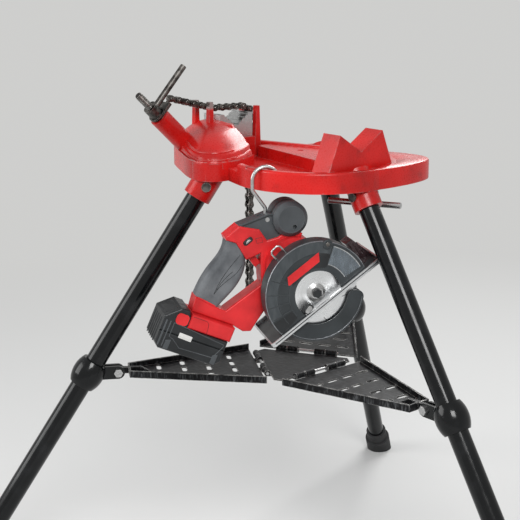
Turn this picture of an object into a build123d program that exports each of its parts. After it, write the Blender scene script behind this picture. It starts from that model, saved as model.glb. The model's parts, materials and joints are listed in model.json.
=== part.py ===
from build123d import *

import os
from math import asin, cos, degrees, pi, radians, sin, sqrt, tan

os.makedirs("parts", exist_ok=True)

# Fits shared by every piece, in millimetres
FIT = 0.05
GAP = 0.3

# Stand: legs and feet
BASE_HEIGHT = 720.0
LEG_OD = 33.4
LEG_WALL = 3.4
LEG_SPLAY = radians(32.4)
LEG_CIRCLE = 150.0
LEG_AZIMUTHS = {"front": 0.0, "left": -120.0, "right": 120.0}
LEG_SEAT = 14.0
LEG_PIN_DIA = 9.5
LEG_PIN_DROP = 10.0
LEG_PIN_HEAD = 3.0
FOOT_DIA = 52.0
FOOT_WALL = 4.5
FOOT_PAD = 18.0
FOOT_SLEEVE = 42.0
FOOT_SKIRT = 16.0

# Stand: base casting
BASE_REAR = 250.0
BASE_FRONT = 178.0
BASE_HALF = 128.0
REAR_HALF = 52.0
SHOULDER_X = 90.0
SHOULDER_STEP = 26.0
NOSE_X = 125.0
NOSE_STEP = 22.0
RIM_HEIGHT = 33.0
RIM_THICK = 14.0
RIM_ROUND = 4.0
FLOOR_THICK = 9.0
BOSS_WALL = 6.5
BOSS_DROP = 30.0
BOSS_RISE = 24.0
BOSS_PAD_DIA = 68.0
BENCH_HOLE_DIA = 11.0
BENCH_X = 50.0
BENCH_LONG = 76.0
BENCH_WIDE = 140.0
DECK_BOLT = (-61.0, 62.0)
RIM_NOTCH_FROM = -40.0
RIM_NOTCH_TO = -2.0
RIM_NOTCH_DEEP = 12.0
RIM_GROOVE_X = 28.0
RIM_GROOVE_WIDE = 4.0
RIM_GROOVE_DEEP = 5.0
LEDGE_HOLE = (117.0, -78.0)
LEDGE_HOLE_DIA = 9.0

# Stand: vise
CHAIN_X = -183.0
JAW_SEAT = 46.0
JAW_HORN = 88.0
JAW_NOTCH = 66.0
JAW_HALF = 36.0
JAW_LAND = 8.0
JAW_LENGTH = 46.0
JAW_TEETH = 4
TOOTH_DEPTH = 2.0
BED_LENGTH = 62.0
PRONG_SPREAD = 20.0
PRONG_WIDE = 9.0
PRONG_DEEP = 15.0
PRONG_TOP = 112.0
PRONG_Y = -56.0
FAR_PRONG_TOP = 98.0
WELL_WIDTH = 26.0
DOME_X = -163.0
DOME_Y = -56.0
DOME_HALF_X = 80.0
DOME_HALF_Y = 42.0
DOME_TOP = 76.0
DOME_RIDGES = 2
DOME_RIDGE = 11.0
DOME_STEP = 7.0
DOME_SHIFT = 3.0
DOME_LEAN = 8.0
DOME_CROWN_X = 42.0
DOME_CROWN_Y = 15.0
DOME_ROUND = 5.0
SADDLE_X = 112.0
SADDLE_LENGTH = 38.0
SADDLE_HORN = 88.0
SADDLE_HORN_Y = 46.0
SADDLE_NOTCH = 58.0
SADDLE_FOOT_Y = 82.0

# Stand: chain and its tension screw
CHAIN_PITCH = 15.9
CHAIN_PLATE = 1.8
CHAIN_HEIGHT = 12.0
CHAIN_INNER = 2.4
CHAIN_PIN_DIA = 5.0
TAIL_LINKS = 15
TAIL_PIVOT_Z = -8.0
CHAIN_RISE = 2.0
CHAIN_TURN = 8.0
CHAIN_CLEAR = 2.5
STRAP_CLEAR = 14.0
ARM_DIA = 34.0
ARM_ANGLE = radians(43.0)
ARM_ROOT_Y = -62.0
ARM_ROOT_Z = 12.0
ARM_LENGTH = 118.0
SCREW_DIA = 13.0
SCREW_OUT = 58.0
SCREW_SUNK = 40.0
STRAP_THICK = 5.0
STRAP_WIDTH = 22.0
WASHER_DIA = 30.0
WASHER_THICK = 3.0
NUT_DIA = 24.0
NUT_HEIGHT = 18.0
LEVER_DIA = 11.0
LEVER_LENGTH = 95.0

# Stand: cross bar behind the front boss
BAR_DIA = 10.0
BAR_LENGTH = 122.0
BAR_X = 137.0
BAR_Y = 21.5
BAR_DROP = 28.0
BAR_ANGLE = radians(27.0)
BAR_LUG = 16.0

# Stand: folding tray
TRAY_DROP = 324.0
TRAY_SHEET = 2.5
TRAY_RIM = 12.0
TRAY_CORNER = 121.0
TRAY_CORNER_CUT = 16.0
HINGE_DIA = 11.0
HINGE_PIN_DIA = 5.0
KNUCKLE = 20.0
KNUCKLE_OFFSET = 46.0
HINGE_EDGE = 7.0
WING_PIN_RADIUS = 306.0
WING_END_HALF = 22.0
WING_END = 288.0
TONGUE = 6.0
TRAY_LIFT = 50.0
SLOT_PLAY = 0.8
TONGUE_ROOT = 42.0
WING_CORNER_GAP = 26.0
WING_SLOTS = (4, 3, 3, 2)
WING_SLOT_STEP = 42.0
WING_SLOT_PITCH = 34.0
WING_SLOT_LENGTH = 24.0
WING_SLOT_WIDE = 8.0
COLLAR_DIA = 54.0
COLLAR_LENGTH = 46.0
COLLAR_WALL = 4.5
EAR_THICK = 5.0
EAR_RADIUS = 11.0
COLLAR_BOLT_DIA = 8.0
BOLT_HEAD = 5.0

# Saw: how it hangs
HOOK_X = 65.0
HOOK_WIRE = 6.0
HOOK_RADIUS = 20.6
HOOK_SINK = 16.4
HOOK_DROP = 60.5
HOOK_TIP = 3.0
HOOK_SHANK = 16.0
HOOK_PIN_DIA = 7.0
EYE_WALL = 3.6
EYE_PROUD = 0.6
HOOK_NECK = 16.0
HOOK_SLOT = 9.0
EYE_F = 11.0
EYE_U = 133.6
SAW_HEADING = radians(64.5)
SAW_PITCH = radians(36.5)

# Saw: cutting head, places given forward, up and towards the blade side from the arbor
BLADE_N = 45.0
BLADE_DIA = 135.0
BLADE_THICK = 1.6
BLADE_TEETH = 30
TOOTH_CUT = 6.0
ARBOR_DIA = 20.0
SPINDLE_DIA = 14.0
FLANGE_DIA = 30.0
FLANGE_THICK = 4.0
BOLT_HEX = 13.0
BOLT_RISE = 6.0
GUARD_DIA = 172.0
GUARD_WALL = 3.0
GUARD_FAR = 31.0
GUARD_NEAR = 59.0
GUARD_MOUTH_DIA = 76.0
WINDOW_FROM = -6.0
WINDOW_TO = 36.0
WINDOW_INNER = 49.0
WINDOW_MARGIN = 6.0
WINDOW_THICK = 2.0
LOWER_DIA = 156.0
LOWER_WALL = 1.6
LOWER_WIDE = 14.0
LOWER_INNER = 102.0
LOWER_FROM = 188.0
LOWER_SPAN = 136.0
LOWER_NOSE = 11.0
HUB_DIA = 34.0
HUB_WALL = 7.0
BEARING_DIA = 26.0
BEARING_WIDE = 9.0
BOLT_DIA = 8.0
BOLT_LENGTH = 18.0
LEVER_FROM = 20.0
LEVER_WIDE = 9.0
LEVER_THICK = 2.5
LEVER_RISE = 10.0
LEVER_ANGLE = 196.0
BADGE_REAR = -30.0
BADGE_FRONT = 40.0
BADGE_LOW = 42.0
BADGE_HIGH = 55.0
BADGE_SLANT = 8.0
BADGE_THICK = 0.8
SHOE_TOP = -19.5
SHOE_SHEET = 2.6
SHOE_REAR = -107.0
SHOE_FRONT = 112.0
SHOE_NEAR = 64.0
SHOE_FAR = -50.0
SHOE_RIM = 5.0
SHOE_SLOT_HALF = 79.0
SHOE_CORNER = 7.0
DEFLECTOR_FAR = 4.0
DEFLECTOR_REAR = 84.0
DEFLECTOR_TOP = 26.0
DEFLECTOR_LEAN = 15.0
CLIP_ANGLE = 96.0
CLIP_HALF = 9.0
CLIP_RISE = 15.0
CLIP_WIRE = 3.2

# Saw: motor and gears
MOTOR_F = 0.0
MOTOR_U = 50.0
MOTOR_DIA = 92.0
MOTOR_WALL = 3.0
MOTOR_FAR = -62.0
CAP_DEPTH = 14.0
CASE_FAR = 8.0
CASE_WALL = 3.0
CASE_RADIUS = 18.5
ROTOR_DIA = 44.0
ROTOR_SHAFT = 8.0
STATOR_BORE = 47.0
STATOR_NEAR = -14.0
STATOR_LENGTH = 14.0
CAP_VENTS = 8
CAP_VENT_WIDE = 5.0

# Saw: handle, battery and controls
SHELL_HALF = 17.0
SHELL_ROUND = 3.0
GRIP_HALF = 16.5
GRIP_ROUND = 9.0
BAR_HALF = 14.0
KNOB_F = 40.0
KNOB_U = 113.0
KNOB_DIA = 56.0
KNOB_HALF = 26.0
KNOB_EDGE = 6.0
KNOB_HOLE = (-3.0, -13.0)
KNOB_HOLE_DIA = 7.0
FOOT_HALF = 34.0
FOOT_DEEP = 24.0
SEAT_TOP = -22.0
SEAT_END = 50.0
SEAT_LEAD = 2.0
SEAT_STOP = 8.0
FACE_F = -180.5
FACE_U = 63.5
FACE_ANGLE = radians(-59.6)
BATTERY_LENGTH = 112.0
BATTERY_PLACE = -10.0
BATTERY_DEPTH = 43.0
BATTERY_CORNER = 9.0
HUMP_RISE = 28.0
HUMP_REAR = 9.0
HUMP_SLOPE = 22.0
HUMP_FRONT = 16.0
HUMP_LEAN = 5.0
BATTERY_HALF = 37.0
BATTERY_COVER = 15.0
BATTERY_WALL = 2.5
CELL_DIA = 20.0
CELL_LENGTH = 68.0
CELL_PITCH = 21.0
RAIL_HALF = 20.0
RAIL_DEEP = 6.0
RAIL_INSET = 5.0
LATCH_LENGTH = 20.0
LATCH_WIDE = 18.0
LATCH_CORNER = 6.0
LATCH_DEEP = 7.0
LATCH_TRAVEL = 3.0
LATCH_PROUD = 1.2
LATCH_EDGE = 2.5
LATCH_PLACE = -37.0
TRIGGER_F = -44.0
TRIGGER_WIDE = 11.0
TRIGGER_HALF = 6.5
TRIGGER_LOW = 82.0
TRIGGER_TOP = 104.0
TRIGGER_TRAVEL = 6.0
LOCK_F = -34.0
LOCK_U = 127.0
LOCK_LENGTH = 17.0
LOCK_WIDE = 8.0
LOCK_TRAVEL = 3.0
LOCK_PROUD = 1.6
LOCK_DEEP = 7.6
SHELL_SCREW = 3.2
SCREW_BITE = 9.0
SCREW_HEAD_DIA = 7.5
SCREW_HEAD = 2.4

# Footprint: the origin is under the middle of the three feet
foot_reach = LEG_CIRCLE + BASE_HEIGHT * tan(LEG_SPLAY)
foot_long = FOOT_DIA / 2 / cos(LEG_SPLAY)
front_reach = foot_reach + foot_long
rear_reach = foot_reach * 0.5 + sqrt((foot_long * 0.5) ** 2 + (FOOT_DIA / 2) ** 2 * 0.75)
AXIS_X = (rear_reach - front_reach) / 2


def stand(x, y, z):
    """A point of the stand, from the tripod axis and the rim's underside."""
    return Vector(AXIS_X + x, y, BASE_HEIGHT + z)


def outward(azimuth):
    """Level unit vector from the tripod axis towards a leg."""
    return Vector(cos(radians(azimuth)), sin(radians(azimuth)), 0)


def across(azimuth):
    """Level unit vector square to a leg's own upright plane."""
    return Vector(-sin(radians(azimuth)), cos(radians(azimuth)), 0)


def on_leg(azimuth, drop):
    """The point of a leg's axis that lies a drop below the rim's underside."""
    return stand(0, 0, -drop) + outward(azimuth) * (LEG_CIRCLE + drop * tan(LEG_SPLAY))


def leg_plane(azimuth, drop):
    """A plane square to a leg, facing down along it."""
    downward = outward(azimuth) * sin(LEG_SPLAY) - Vector(0, 0, cos(LEG_SPLAY))
    return Plane(origin=on_leg(azimuth, drop), x_dir=across(azimuth), z_dir=downward)


def upright(azimuth, shift=0.0):
    """The upright plane through a leg: x runs outwards, y runs up from the rim's underside."""
    origin = stand(0, 0, 0) - across(azimuth) * shift
    return Plane(origin=origin, x_dir=outward(azimuth), z_dir=-across(azimuth))


def level(z):
    """A level plane of the stand at a height above the rim's underside."""
    return Plane(origin=stand(0, 0, z), x_dir=(1, 0, 0), z_dir=(0, 0, 1))


def crosswise(x):
    """An upright plane across the stand: x runs along +Y, y runs up, facing +X."""
    return Plane(origin=stand(x, 0, 0), x_dir=(0, 1, 0), z_dir=(1, 0, 0))


def keep(piece, name):
    """Name a finished piece and write it."""
    piece.part.label = name
    export_step(piece.part, f"parts/{name}.step")


# Legs, their pins and their rubber feet
leg_drop_end = BASE_HEIGHT - FOOT_PAD
leg_length = (leg_drop_end + LEG_SEAT) / cos(LEG_SPLAY)
boss_dia = LEG_OD + 2 * FIT + 2 * BOSS_WALL

for side_name, azimuth in LEG_AZIMUTHS.items():
    with BuildPart() as leg:
        with BuildSketch(leg_plane(azimuth, -LEG_SEAT)):
            Circle(LEG_OD / 2)
            Circle(LEG_OD / 2 - LEG_WALL, mode=Mode.SUBTRACT)
        extrude(amount=leg_length)
        with BuildSketch(Plane(origin=on_leg(azimuth, LEG_PIN_DROP), z_dir=across(azimuth))):
            Circle(LEG_PIN_DIA / 2 + FIT)
        extrude(amount=LEG_OD, both=True, mode=Mode.SUBTRACT)
    keep(leg, f"leg_{side_name}")

with BuildPart() as leg_pins:
    for azimuth in LEG_AZIMUTHS.values():
        half = boss_dia / 2
        with BuildSketch(Plane(origin=on_leg(azimuth, LEG_PIN_DROP), z_dir=across(azimuth))):
            Circle(LEG_PIN_DIA / 2)
        extrude(amount=half, both=True)
        for end in (-1, 1):
            seat = on_leg(azimuth, LEG_PIN_DROP) + across(azimuth) * (end * half)
            with BuildSketch(Plane(origin=seat, z_dir=across(azimuth) * end)):
                Circle(LEG_PIN_DIA / 2 + LEG_PIN_HEAD)
            extrude(amount=LEG_PIN_HEAD)
keep(leg_pins, "leg_pins")

with BuildPart() as feet:
    for azimuth in LEG_AZIMUTHS.values():
        sleeve_drop = leg_drop_end - FOOT_SLEEVE * cos(LEG_SPLAY)
        with BuildSketch(leg_plane(azimuth, sleeve_drop)):
            Circle(LEG_OD / 2 + FIT + FOOT_WALL)
        extrude(amount=FOOT_SLEEVE + FOOT_PAD)
        with BuildSketch(leg_plane(azimuth, leg_drop_end - FOOT_SKIRT)):
            Circle(FOOT_DIA / 2)
        extrude(amount=FOOT_SKIRT + 2 * FOOT_DIA)
        with BuildSketch(leg_plane(azimuth, sleeve_drop)):
            Circle(LEG_OD / 2 + FIT)
        extrude(amount=FOOT_SLEEVE, mode=Mode.SUBTRACT)
    split(bisect_by=Plane.XY, keep=Keep.TOP)
keep(feet, "feet")


# Base casting
def base_outline(inset=0.0):
    """The casting's plan, less an inset all round."""
    with BuildSketch() as plan:
        with BuildLine():
            Polyline((-BASE_REAR, 0), (-BASE_REAR, -REAR_HALF), (-SHOULDER_X, SHOULDER_STEP - BASE_HALF),
                     (0, -BASE_HALF))
            ThreePointArc((0, -BASE_HALF), (NOSE_X, NOSE_STEP - BASE_HALF), (BASE_FRONT, 0))
            mirror(about=Plane.XZ)
        make_face()
        if inset:
            offset(amount=-inset, mode=Mode.REPLACE)
    return plan.sketch


arm_axis = Vector(0, -cos(ARM_ANGLE), sin(ARM_ANGLE))
arm_lift = Vector(0, sin(ARM_ANGLE), cos(ARM_ANGLE))
arm_root = stand(CHAIN_X, ARM_ROOT_Y, ARM_ROOT_Z)
arm_tip = arm_root + arm_axis * ARM_LENGTH
chain_over = JAW_HORN + CHAIN_HEIGHT / 2 + CHAIN_CLEAR
tail_y = JAW_HALF + CHAIN_HEIGHT / 2 + 6.0
bar_dir = Vector(cos(BAR_ANGLE), sin(BAR_ANGLE), 0)
bar_mid = stand(BAR_X, BAR_Y, -BAR_DROP)

with BuildPart() as vise_base:
    with BuildSketch(level(0)):
        add(base_outline())
    extrude(amount=RIM_HEIGHT)
    with BuildSketch(level(FLOOR_THICK)):
        add(base_outline(RIM_THICK))
    extrude(amount=RIM_HEIGHT - FLOOR_THICK, mode=Mode.SUBTRACT)
    fillet(vise_base.edges().group_by(Axis.Z)[-1], radius=RIM_ROUND)
    # Leg bosses and the pads that blend them into the rim
    for azimuth in LEG_AZIMUTHS.values():
        pad = on_leg(azimuth, -BOSS_RISE / 2)
        with BuildSketch(Plane(origin=(pad.X, pad.Y, BASE_HEIGHT))):
            Circle(BOSS_PAD_DIA / 2)
        extrude(amount=RIM_HEIGHT - RIM_ROUND)
        with BuildSketch(leg_plane(azimuth, -BOSS_RISE)):
            Circle(boss_dia / 2)
        extrude(amount=(BOSS_RISE + BOSS_DROP) / cos(LEG_SPLAY))
    # Bending dome in the near rear corner: stepped ridges below a smooth crown that leans to the middle
    for ridge in range(DOME_RIDGES):
        rise = RIM_HEIGHT + DOME_RIDGE * (ridge + 1)
        with BuildSketch(level(FLOOR_THICK)):
            with Locations((DOME_X, DOME_Y + ridge * DOME_SHIFT)):
                Ellipse(DOME_HALF_X - ridge * DOME_STEP, DOME_HALF_Y - ridge * DOME_STEP)
        extrude(amount=rise - FLOOR_THICK)
    with BuildSketch(level(rise)):
        with Locations((DOME_X, DOME_Y + DOME_RIDGES * DOME_SHIFT)):
            Ellipse(DOME_HALF_X - DOME_RIDGES * DOME_STEP, DOME_HALF_Y - DOME_RIDGES * DOME_STEP)
    with BuildSketch(level(DOME_TOP)):
        with Locations((DOME_X, DOME_Y + DOME_RIDGES * DOME_SHIFT + DOME_LEAN)):
            Ellipse(DOME_CROWN_X, DOME_CROWN_Y)
    loft()
    fillet(vise_base.faces().filter_by(Plane.XY).sort_by(Axis.Z)[-1].edges(), radius=DOME_ROUND)
    # Raised deck along the far side
    with BuildSketch(level(FLOOR_THICK)):
        Polygon((-150, 40), (SADDLE_X, -2), (SADDLE_X, 90), (-20, 110), (-150, 70), align=None)
    extrude(amount=RIM_HEIGHT - RIM_ROUND - FLOOR_THICK)
    # Bed under the jaw
    with BuildSketch(crosswise(CHAIN_X - BED_LENGTH / 2)):
        with BuildLine():
            Polyline((PRONG_Y - PRONG_DEEP, 0), (PRONG_Y - PRONG_DEEP, JAW_SEAT), (JAW_HALF, JAW_SEAT),
                     (JAW_HALF, 0), close=True)
        make_face()
    extrude(amount=BED_LENGTH)
    # Pipe rest with its notch
    with BuildSketch(crosswise(SADDLE_X)):
        with BuildLine():
            Polyline((-SADDLE_FOOT_Y, 0), (-SADDLE_HORN_Y, SADDLE_HORN), (0, SADDLE_NOTCH),
                     (SADDLE_HORN_Y, SADDLE_HORN), (SADDLE_FOOT_Y, 0), close=True)
        make_face()
    extrude(amount=SADDLE_LENGTH)
    # Chain prongs on both sides of the jaw
    for y, top in ((PRONG_Y, PRONG_TOP), (tail_y, FAR_PRONG_TOP)):
        for x in (CHAIN_X - PRONG_SPREAD, CHAIN_X + PRONG_SPREAD):
            with BuildSketch(crosswise(x - PRONG_WIDE / 2)):
                with BuildLine():
                    Polyline((y - PRONG_DEEP / 2, 0), (y - PRONG_DEEP / 4, top), (y + PRONG_DEEP / 4, top),
                             (y + PRONG_DEEP / 2, 0), close=True)
                make_face()
            extrude(amount=PRONG_WIDE)
    # Arm for the tension screw
    with BuildSketch(Plane(origin=arm_root, x_dir=(1, 0, 0), z_dir=arm_axis)):
        Circle(ARM_DIA / 2)
    extrude(amount=ARM_LENGTH)
    # Lug that carries the cross bar
    with BuildSketch(Plane(origin=stand(BAR_X, BAR_Y, 0), x_dir=bar_dir, z_dir=(0, 0, -1))):
        RectangleRounded(BAR_LUG, BAR_LUG, BAR_LUG / 6)
    extrude(amount=BAR_DROP + BAR_LUG / 2)
    # Seat cut clear for the jaw
    with BuildSketch(level(JAW_SEAT)):
        with Locations((CHAIN_X, 0)):
            Rectangle(JAW_LENGTH + 2 * GAP, 2 * (JAW_HALF + GAP))
    extrude(amount=JAW_HORN - JAW_SEAT, mode=Mode.SUBTRACT)
    # Bores and openings
    for azimuth in LEG_AZIMUTHS.values():
        with BuildSketch(leg_plane(azimuth, -LEG_SEAT)):
            Circle(LEG_OD / 2 + FIT)
        extrude(amount=BASE_HEIGHT / 4, mode=Mode.SUBTRACT)
        with BuildSketch(Plane(origin=on_leg(azimuth, LEG_PIN_DROP), z_dir=across(azimuth))):
            Circle(LEG_PIN_DIA / 2 + FIT)
        extrude(amount=boss_dia, both=True, mode=Mode.SUBTRACT)
    with BuildSketch(Plane(origin=arm_tip, x_dir=(1, 0, 0), z_dir=-arm_axis)):
        Circle(SCREW_DIA / 2 + FIT)
    extrude(amount=SCREW_SUNK, mode=Mode.SUBTRACT)
    with BuildSketch(Plane(origin=bar_mid, x_dir=(0, 0, 1), z_dir=bar_dir)):
        Circle(BAR_DIA / 2 + FIT)
    extrude(amount=BAR_LENGTH / 2, both=True, mode=Mode.SUBTRACT)
    with BuildSketch(level(0)):
        with Locations((CHAIN_X, tail_y)):
            Rectangle(WELL_WIDTH, CHAIN_HEIGHT * 2)
    extrude(amount=FLOOR_THICK, mode=Mode.SUBTRACT)
    with BuildSketch(level(0)):
        with Locations((BENCH_X, 0)):
            with GridLocations(BENCH_LONG, BENCH_WIDE, 2, 2):
                Circle(BENCH_HOLE_DIA / 2)
        with Locations(DECK_BOLT):
            Circle(BENCH_HOLE_DIA / 2)
        with Locations(LEDGE_HOLE):
            Circle(LEDGE_HOLE_DIA / 2)
    extrude(amount=RIM_HEIGHT, mode=Mode.SUBTRACT)
    # Notch and groove in the near rim
    with BuildSketch(level(RIM_HEIGHT - RIM_NOTCH_DEEP)):
        with Locations(((RIM_NOTCH_FROM + RIM_NOTCH_TO) / 2, -BASE_HALF + RIM_THICK)):
            Rectangle(RIM_NOTCH_TO - RIM_NOTCH_FROM, 2 * RIM_THICK)
    extrude(amount=RIM_NOTCH_DEEP, mode=Mode.SUBTRACT)
    with BuildSketch(level(0)):
        with Locations((RIM_GROOVE_X, -BASE_HALF)):
            Rectangle(RIM_GROOVE_WIDE, 2 * RIM_GROOVE_DEEP)
    extrude(amount=RIM_HEIGHT, mode=Mode.SUBTRACT)
keep(vise_base, "vise_base")

# Vise jaw with its serrated notch
with BuildPart() as v_jaw:
    with BuildSketch(crosswise(CHAIN_X - JAW_LENGTH / 2)):
        slope_end = JAW_HALF - JAW_LAND
        Polygon((-JAW_HALF, JAW_SEAT), (-JAW_HALF, JAW_HORN), (-slope_end, JAW_HORN), (0, JAW_NOTCH),
                (slope_end, JAW_HORN), (JAW_HALF, JAW_HORN), (JAW_HALF, JAW_SEAT), align=None)
        for hand in (-1, 1):
            for tooth in range(JAW_TEETH):
                share = (tooth + 0.5) / JAW_TEETH
                with Locations((hand * slope_end * share, JAW_NOTCH + (JAW_HORN - JAW_NOTCH) * share)):
                    RegularPolygon(TOOTH_DEPTH, 4, mode=Mode.SUBTRACT)
    extrude(amount=JAW_LENGTH)
keep(v_jaw, "v_jaw")

# Tension screw, strap, washer and nut, stacked along the arm's axis
strap_reach = ARM_DIA / 2 + STRAP_CLEAR + CHAIN_HEIGHT / 2
strap_pin = arm_tip + arm_axis * (STRAP_THICK / 2) + arm_lift * strap_reach
nut_seat = arm_tip + arm_axis * (STRAP_THICK + WASHER_THICK + GAP)


def screw_plane(origin):
    """A plane square to the tension screw: x runs along +X, y rises over the jaw."""
    return Plane(origin=origin, x_dir=(1, 0, 0), z_dir=arm_axis)


with BuildPart() as tension_screw:
    with BuildSketch(screw_plane(arm_tip - arm_axis * SCREW_SUNK)):
        Circle(SCREW_DIA / 2)
    extrude(amount=SCREW_SUNK + SCREW_OUT)
    chamfer(tension_screw.edges().sort_by(Axis(arm_tip, arm_axis))[-1], length=SCREW_DIA / 10)
keep(tension_screw, "tension_screw")

with BuildPart() as chain_strap:
    with BuildSketch(screw_plane(arm_tip)):
        Circle(STRAP_WIDTH / 2)
        shank_end = strap_reach - CHAIN_HEIGHT / 2 - STRAP_CLEAR / 4
        with Locations((0, shank_end / 2)):
            Rectangle(STRAP_WIDTH, shank_end)
        with Locations((0, (shank_end + strap_reach) / 2)):
            Rectangle(2 * (CHAIN_INNER - GAP), strap_reach - shank_end + 1)
        Circle(SCREW_DIA / 2 + FIT, mode=Mode.SUBTRACT)
    extrude(amount=STRAP_THICK)
    with BuildSketch(Plane(origin=strap_pin, z_dir=(1, 0, 0))):
        Circle(CHAIN_HEIGHT / 2)
    extrude(amount=CHAIN_INNER - GAP, both=True)
    with BuildSketch(Plane(origin=strap_pin, z_dir=(1, 0, 0))):
        Circle(CHAIN_PIN_DIA / 2 + FIT)
    extrude(amount=STRAP_WIDTH, both=True, mode=Mode.SUBTRACT)
keep(chain_strap, "chain_strap")

with BuildPart() as tension_washer:
    with BuildSketch(screw_plane(arm_tip + arm_axis * STRAP_THICK)):
        Circle(WASHER_DIA / 2)
        Circle(SCREW_DIA / 2 + FIT, mode=Mode.SUBTRACT)
    extrude(amount=WASHER_THICK)
keep(tension_washer, "tension_washer")

with BuildPart() as tension_nut:
    with BuildSketch(screw_plane(nut_seat)):
        Circle(NUT_DIA / 2)
    extrude(amount=NUT_HEIGHT)
    with BuildSketch(Plane(origin=nut_seat + arm_axis * (NUT_HEIGHT / 2), x_dir=(1, 0, 0), z_dir=arm_lift)):
        Circle(LEVER_DIA / 2)
    extrude(amount=LEVER_LENGTH)
    with BuildSketch(screw_plane(nut_seat)):
        Circle(SCREW_DIA / 2 + FIT)
    extrude(amount=NUT_HEIGHT, mode=Mode.SUBTRACT)
keep(tension_nut, "tension_nut")


# Chain: links step along its route at the pitch
def step_along(route, pitch, lowest):
    """Points one pitch apart along a route of (y, z) corners, until one lies below the lowest height."""
    points = [route[0]]
    run = 0
    while points[-1][1] > lowest:
        y, z = points[-1]
        while run < len(route) - 2 and sqrt((route[run + 1][0] - y) ** 2 + (route[run + 1][1] - z) ** 2) < pitch:
            run += 1
        ay, az = route[run]
        by, bz = route[run + 1]
        dy, dz = by - ay, bz - az
        ey, ez = ay - y, az - z
        a = dy * dy + dz * dz
        b = 2 * (ey * dy + ez * dz)
        c = ey * ey + ez * ez - pitch * pitch
        share = (-b + sqrt(b * b - 4 * a * c)) / (2 * a)
        points.append((ay + share * dy, az + share * dz))
    return points


def link_planes(points, first_outer):
    """Planes on which the inner and the outer link plates start, paired by hand."""
    inner, outer = [], []
    for number, (start, end) in enumerate(zip(points, points[1:])):
        along = Vector(0, end[0] - start[0], end[1] - start[1])
        middle = stand(CHAIN_X, (start[0] + end[0]) / 2, (start[1] + end[1]) / 2)
        is_outer = (number % 2 == 1) != first_outer
        reach = CHAIN_INNER + CHAIN_PLATE + GAP if is_outer else CHAIN_INNER
        for hand in (-1, 1):
            face = Plane(origin=middle + Vector(hand * reach, 0, 0), x_dir=along, z_dir=(hand, 0, 0))
            (outer if is_outer else inner).append(face)
    return inner, outer


def pin_planes(points):
    """Planes through the middle of each chain pin."""
    return [Plane(origin=stand(CHAIN_X, y, z), x_dir=(0, 1, 0), z_dir=(1, 0, 0)) for y, z in points]


jaw_run = chain_over + CHAIN_RISE
route = [(strap_pin.Y, strap_pin.Z - BASE_HEIGHT), (-JAW_HALF, jaw_run), (tail_y - CHAIN_HEIGHT / 2, chain_over),
         (tail_y, chain_over - CHAIN_TURN), (tail_y, -CHAIN_PITCH * TAIL_LINKS)]
run_points = step_along(route, CHAIN_PITCH, TAIL_PIVOT_Z)
tail_pivot = run_points[-1]
tail_points = [(tail_pivot[0], tail_pivot[1] - CHAIN_PITCH * count) for count in range(TAIL_LINKS + 1)]
tail_outer = (len(run_points) - 1) % 2 == 1
pin_half = CHAIN_INNER + 2 * CHAIN_PLATE + GAP + 1.0

with BuildPart() as chain_run:
    for faces in link_planes(run_points, False):
        with BuildSketch(*faces):
            SlotCenterToCenter(CHAIN_PITCH, CHAIN_HEIGHT)
        extrude(amount=CHAIN_PLATE)
    with BuildSketch(*pin_planes(run_points)):
        Circle(CHAIN_PIN_DIA / 2)
    extrude(amount=pin_half, both=True)
keep(chain_run, "chain_run")

with BuildPart() as chain_tail:
    for faces in link_planes(tail_points, tail_outer):
        with BuildSketch(*faces):
            SlotCenterToCenter(CHAIN_PITCH, CHAIN_HEIGHT)
        extrude(amount=CHAIN_PLATE)
    with BuildSketch(*pin_planes(tail_points[1:])):
        Circle(CHAIN_PIN_DIA / 2)
    extrude(amount=pin_half, both=True)
    with BuildSketch(*pin_planes(tail_points[:1])):
        Circle(CHAIN_PIN_DIA / 2 + FIT)
    extrude(amount=pin_half + 1, both=True, mode=Mode.SUBTRACT)
keep(chain_tail, "chain_tail")

with BuildPart() as cross_bar:
    with BuildSketch(Plane(origin=bar_mid, x_dir=(0, 0, 1), z_dir=bar_dir)):
        Circle(BAR_DIA / 2)
    extrude(amount=BAR_LENGTH / 2, both=True)
    chamfer(cross_bar.edges().filter_by(GeomType.CIRCLE), length=BAR_DIA / 10)
keep(cross_bar, "cross_bar")

# Folding tray: a truncated triangle with three hinged wings
hinge_radius = TRAY_CORNER * cos(pi / 3)
tray_floor = -TRAY_DROP - HINGE_DIA / 2
wing_reach = WING_PIN_RADIUS - hinge_radius
wing_angle = asin(TRAY_LIFT / wing_reach)
wing_creep = wing_reach * (1 - cos(wing_angle))
wing_knuckle = KNUCKLE_OFFSET - KNUCKLE - 1.0
wing_start = hinge_radius + HINGE_EDGE
wing_half = wing_start * tan(pi / 3) - WING_CORNER_GAP


def tray_plane(azimuth, z):
    """A level plane whose x runs out along a leg's azimuth."""
    return Plane(origin=stand(0, 0, z), x_dir=outward(azimuth), z_dir=(0, 0, 1))


def hinge_plane(azimuth, shift):
    """A plane square to a tray hinge, shifted along it from the middle."""
    origin = stand(0, 0, -TRAY_DROP) + outward(azimuth) * hinge_radius + across(azimuth) * shift
    return Plane(origin=origin, x_dir=outward(azimuth), z_dir=across(azimuth))


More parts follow.
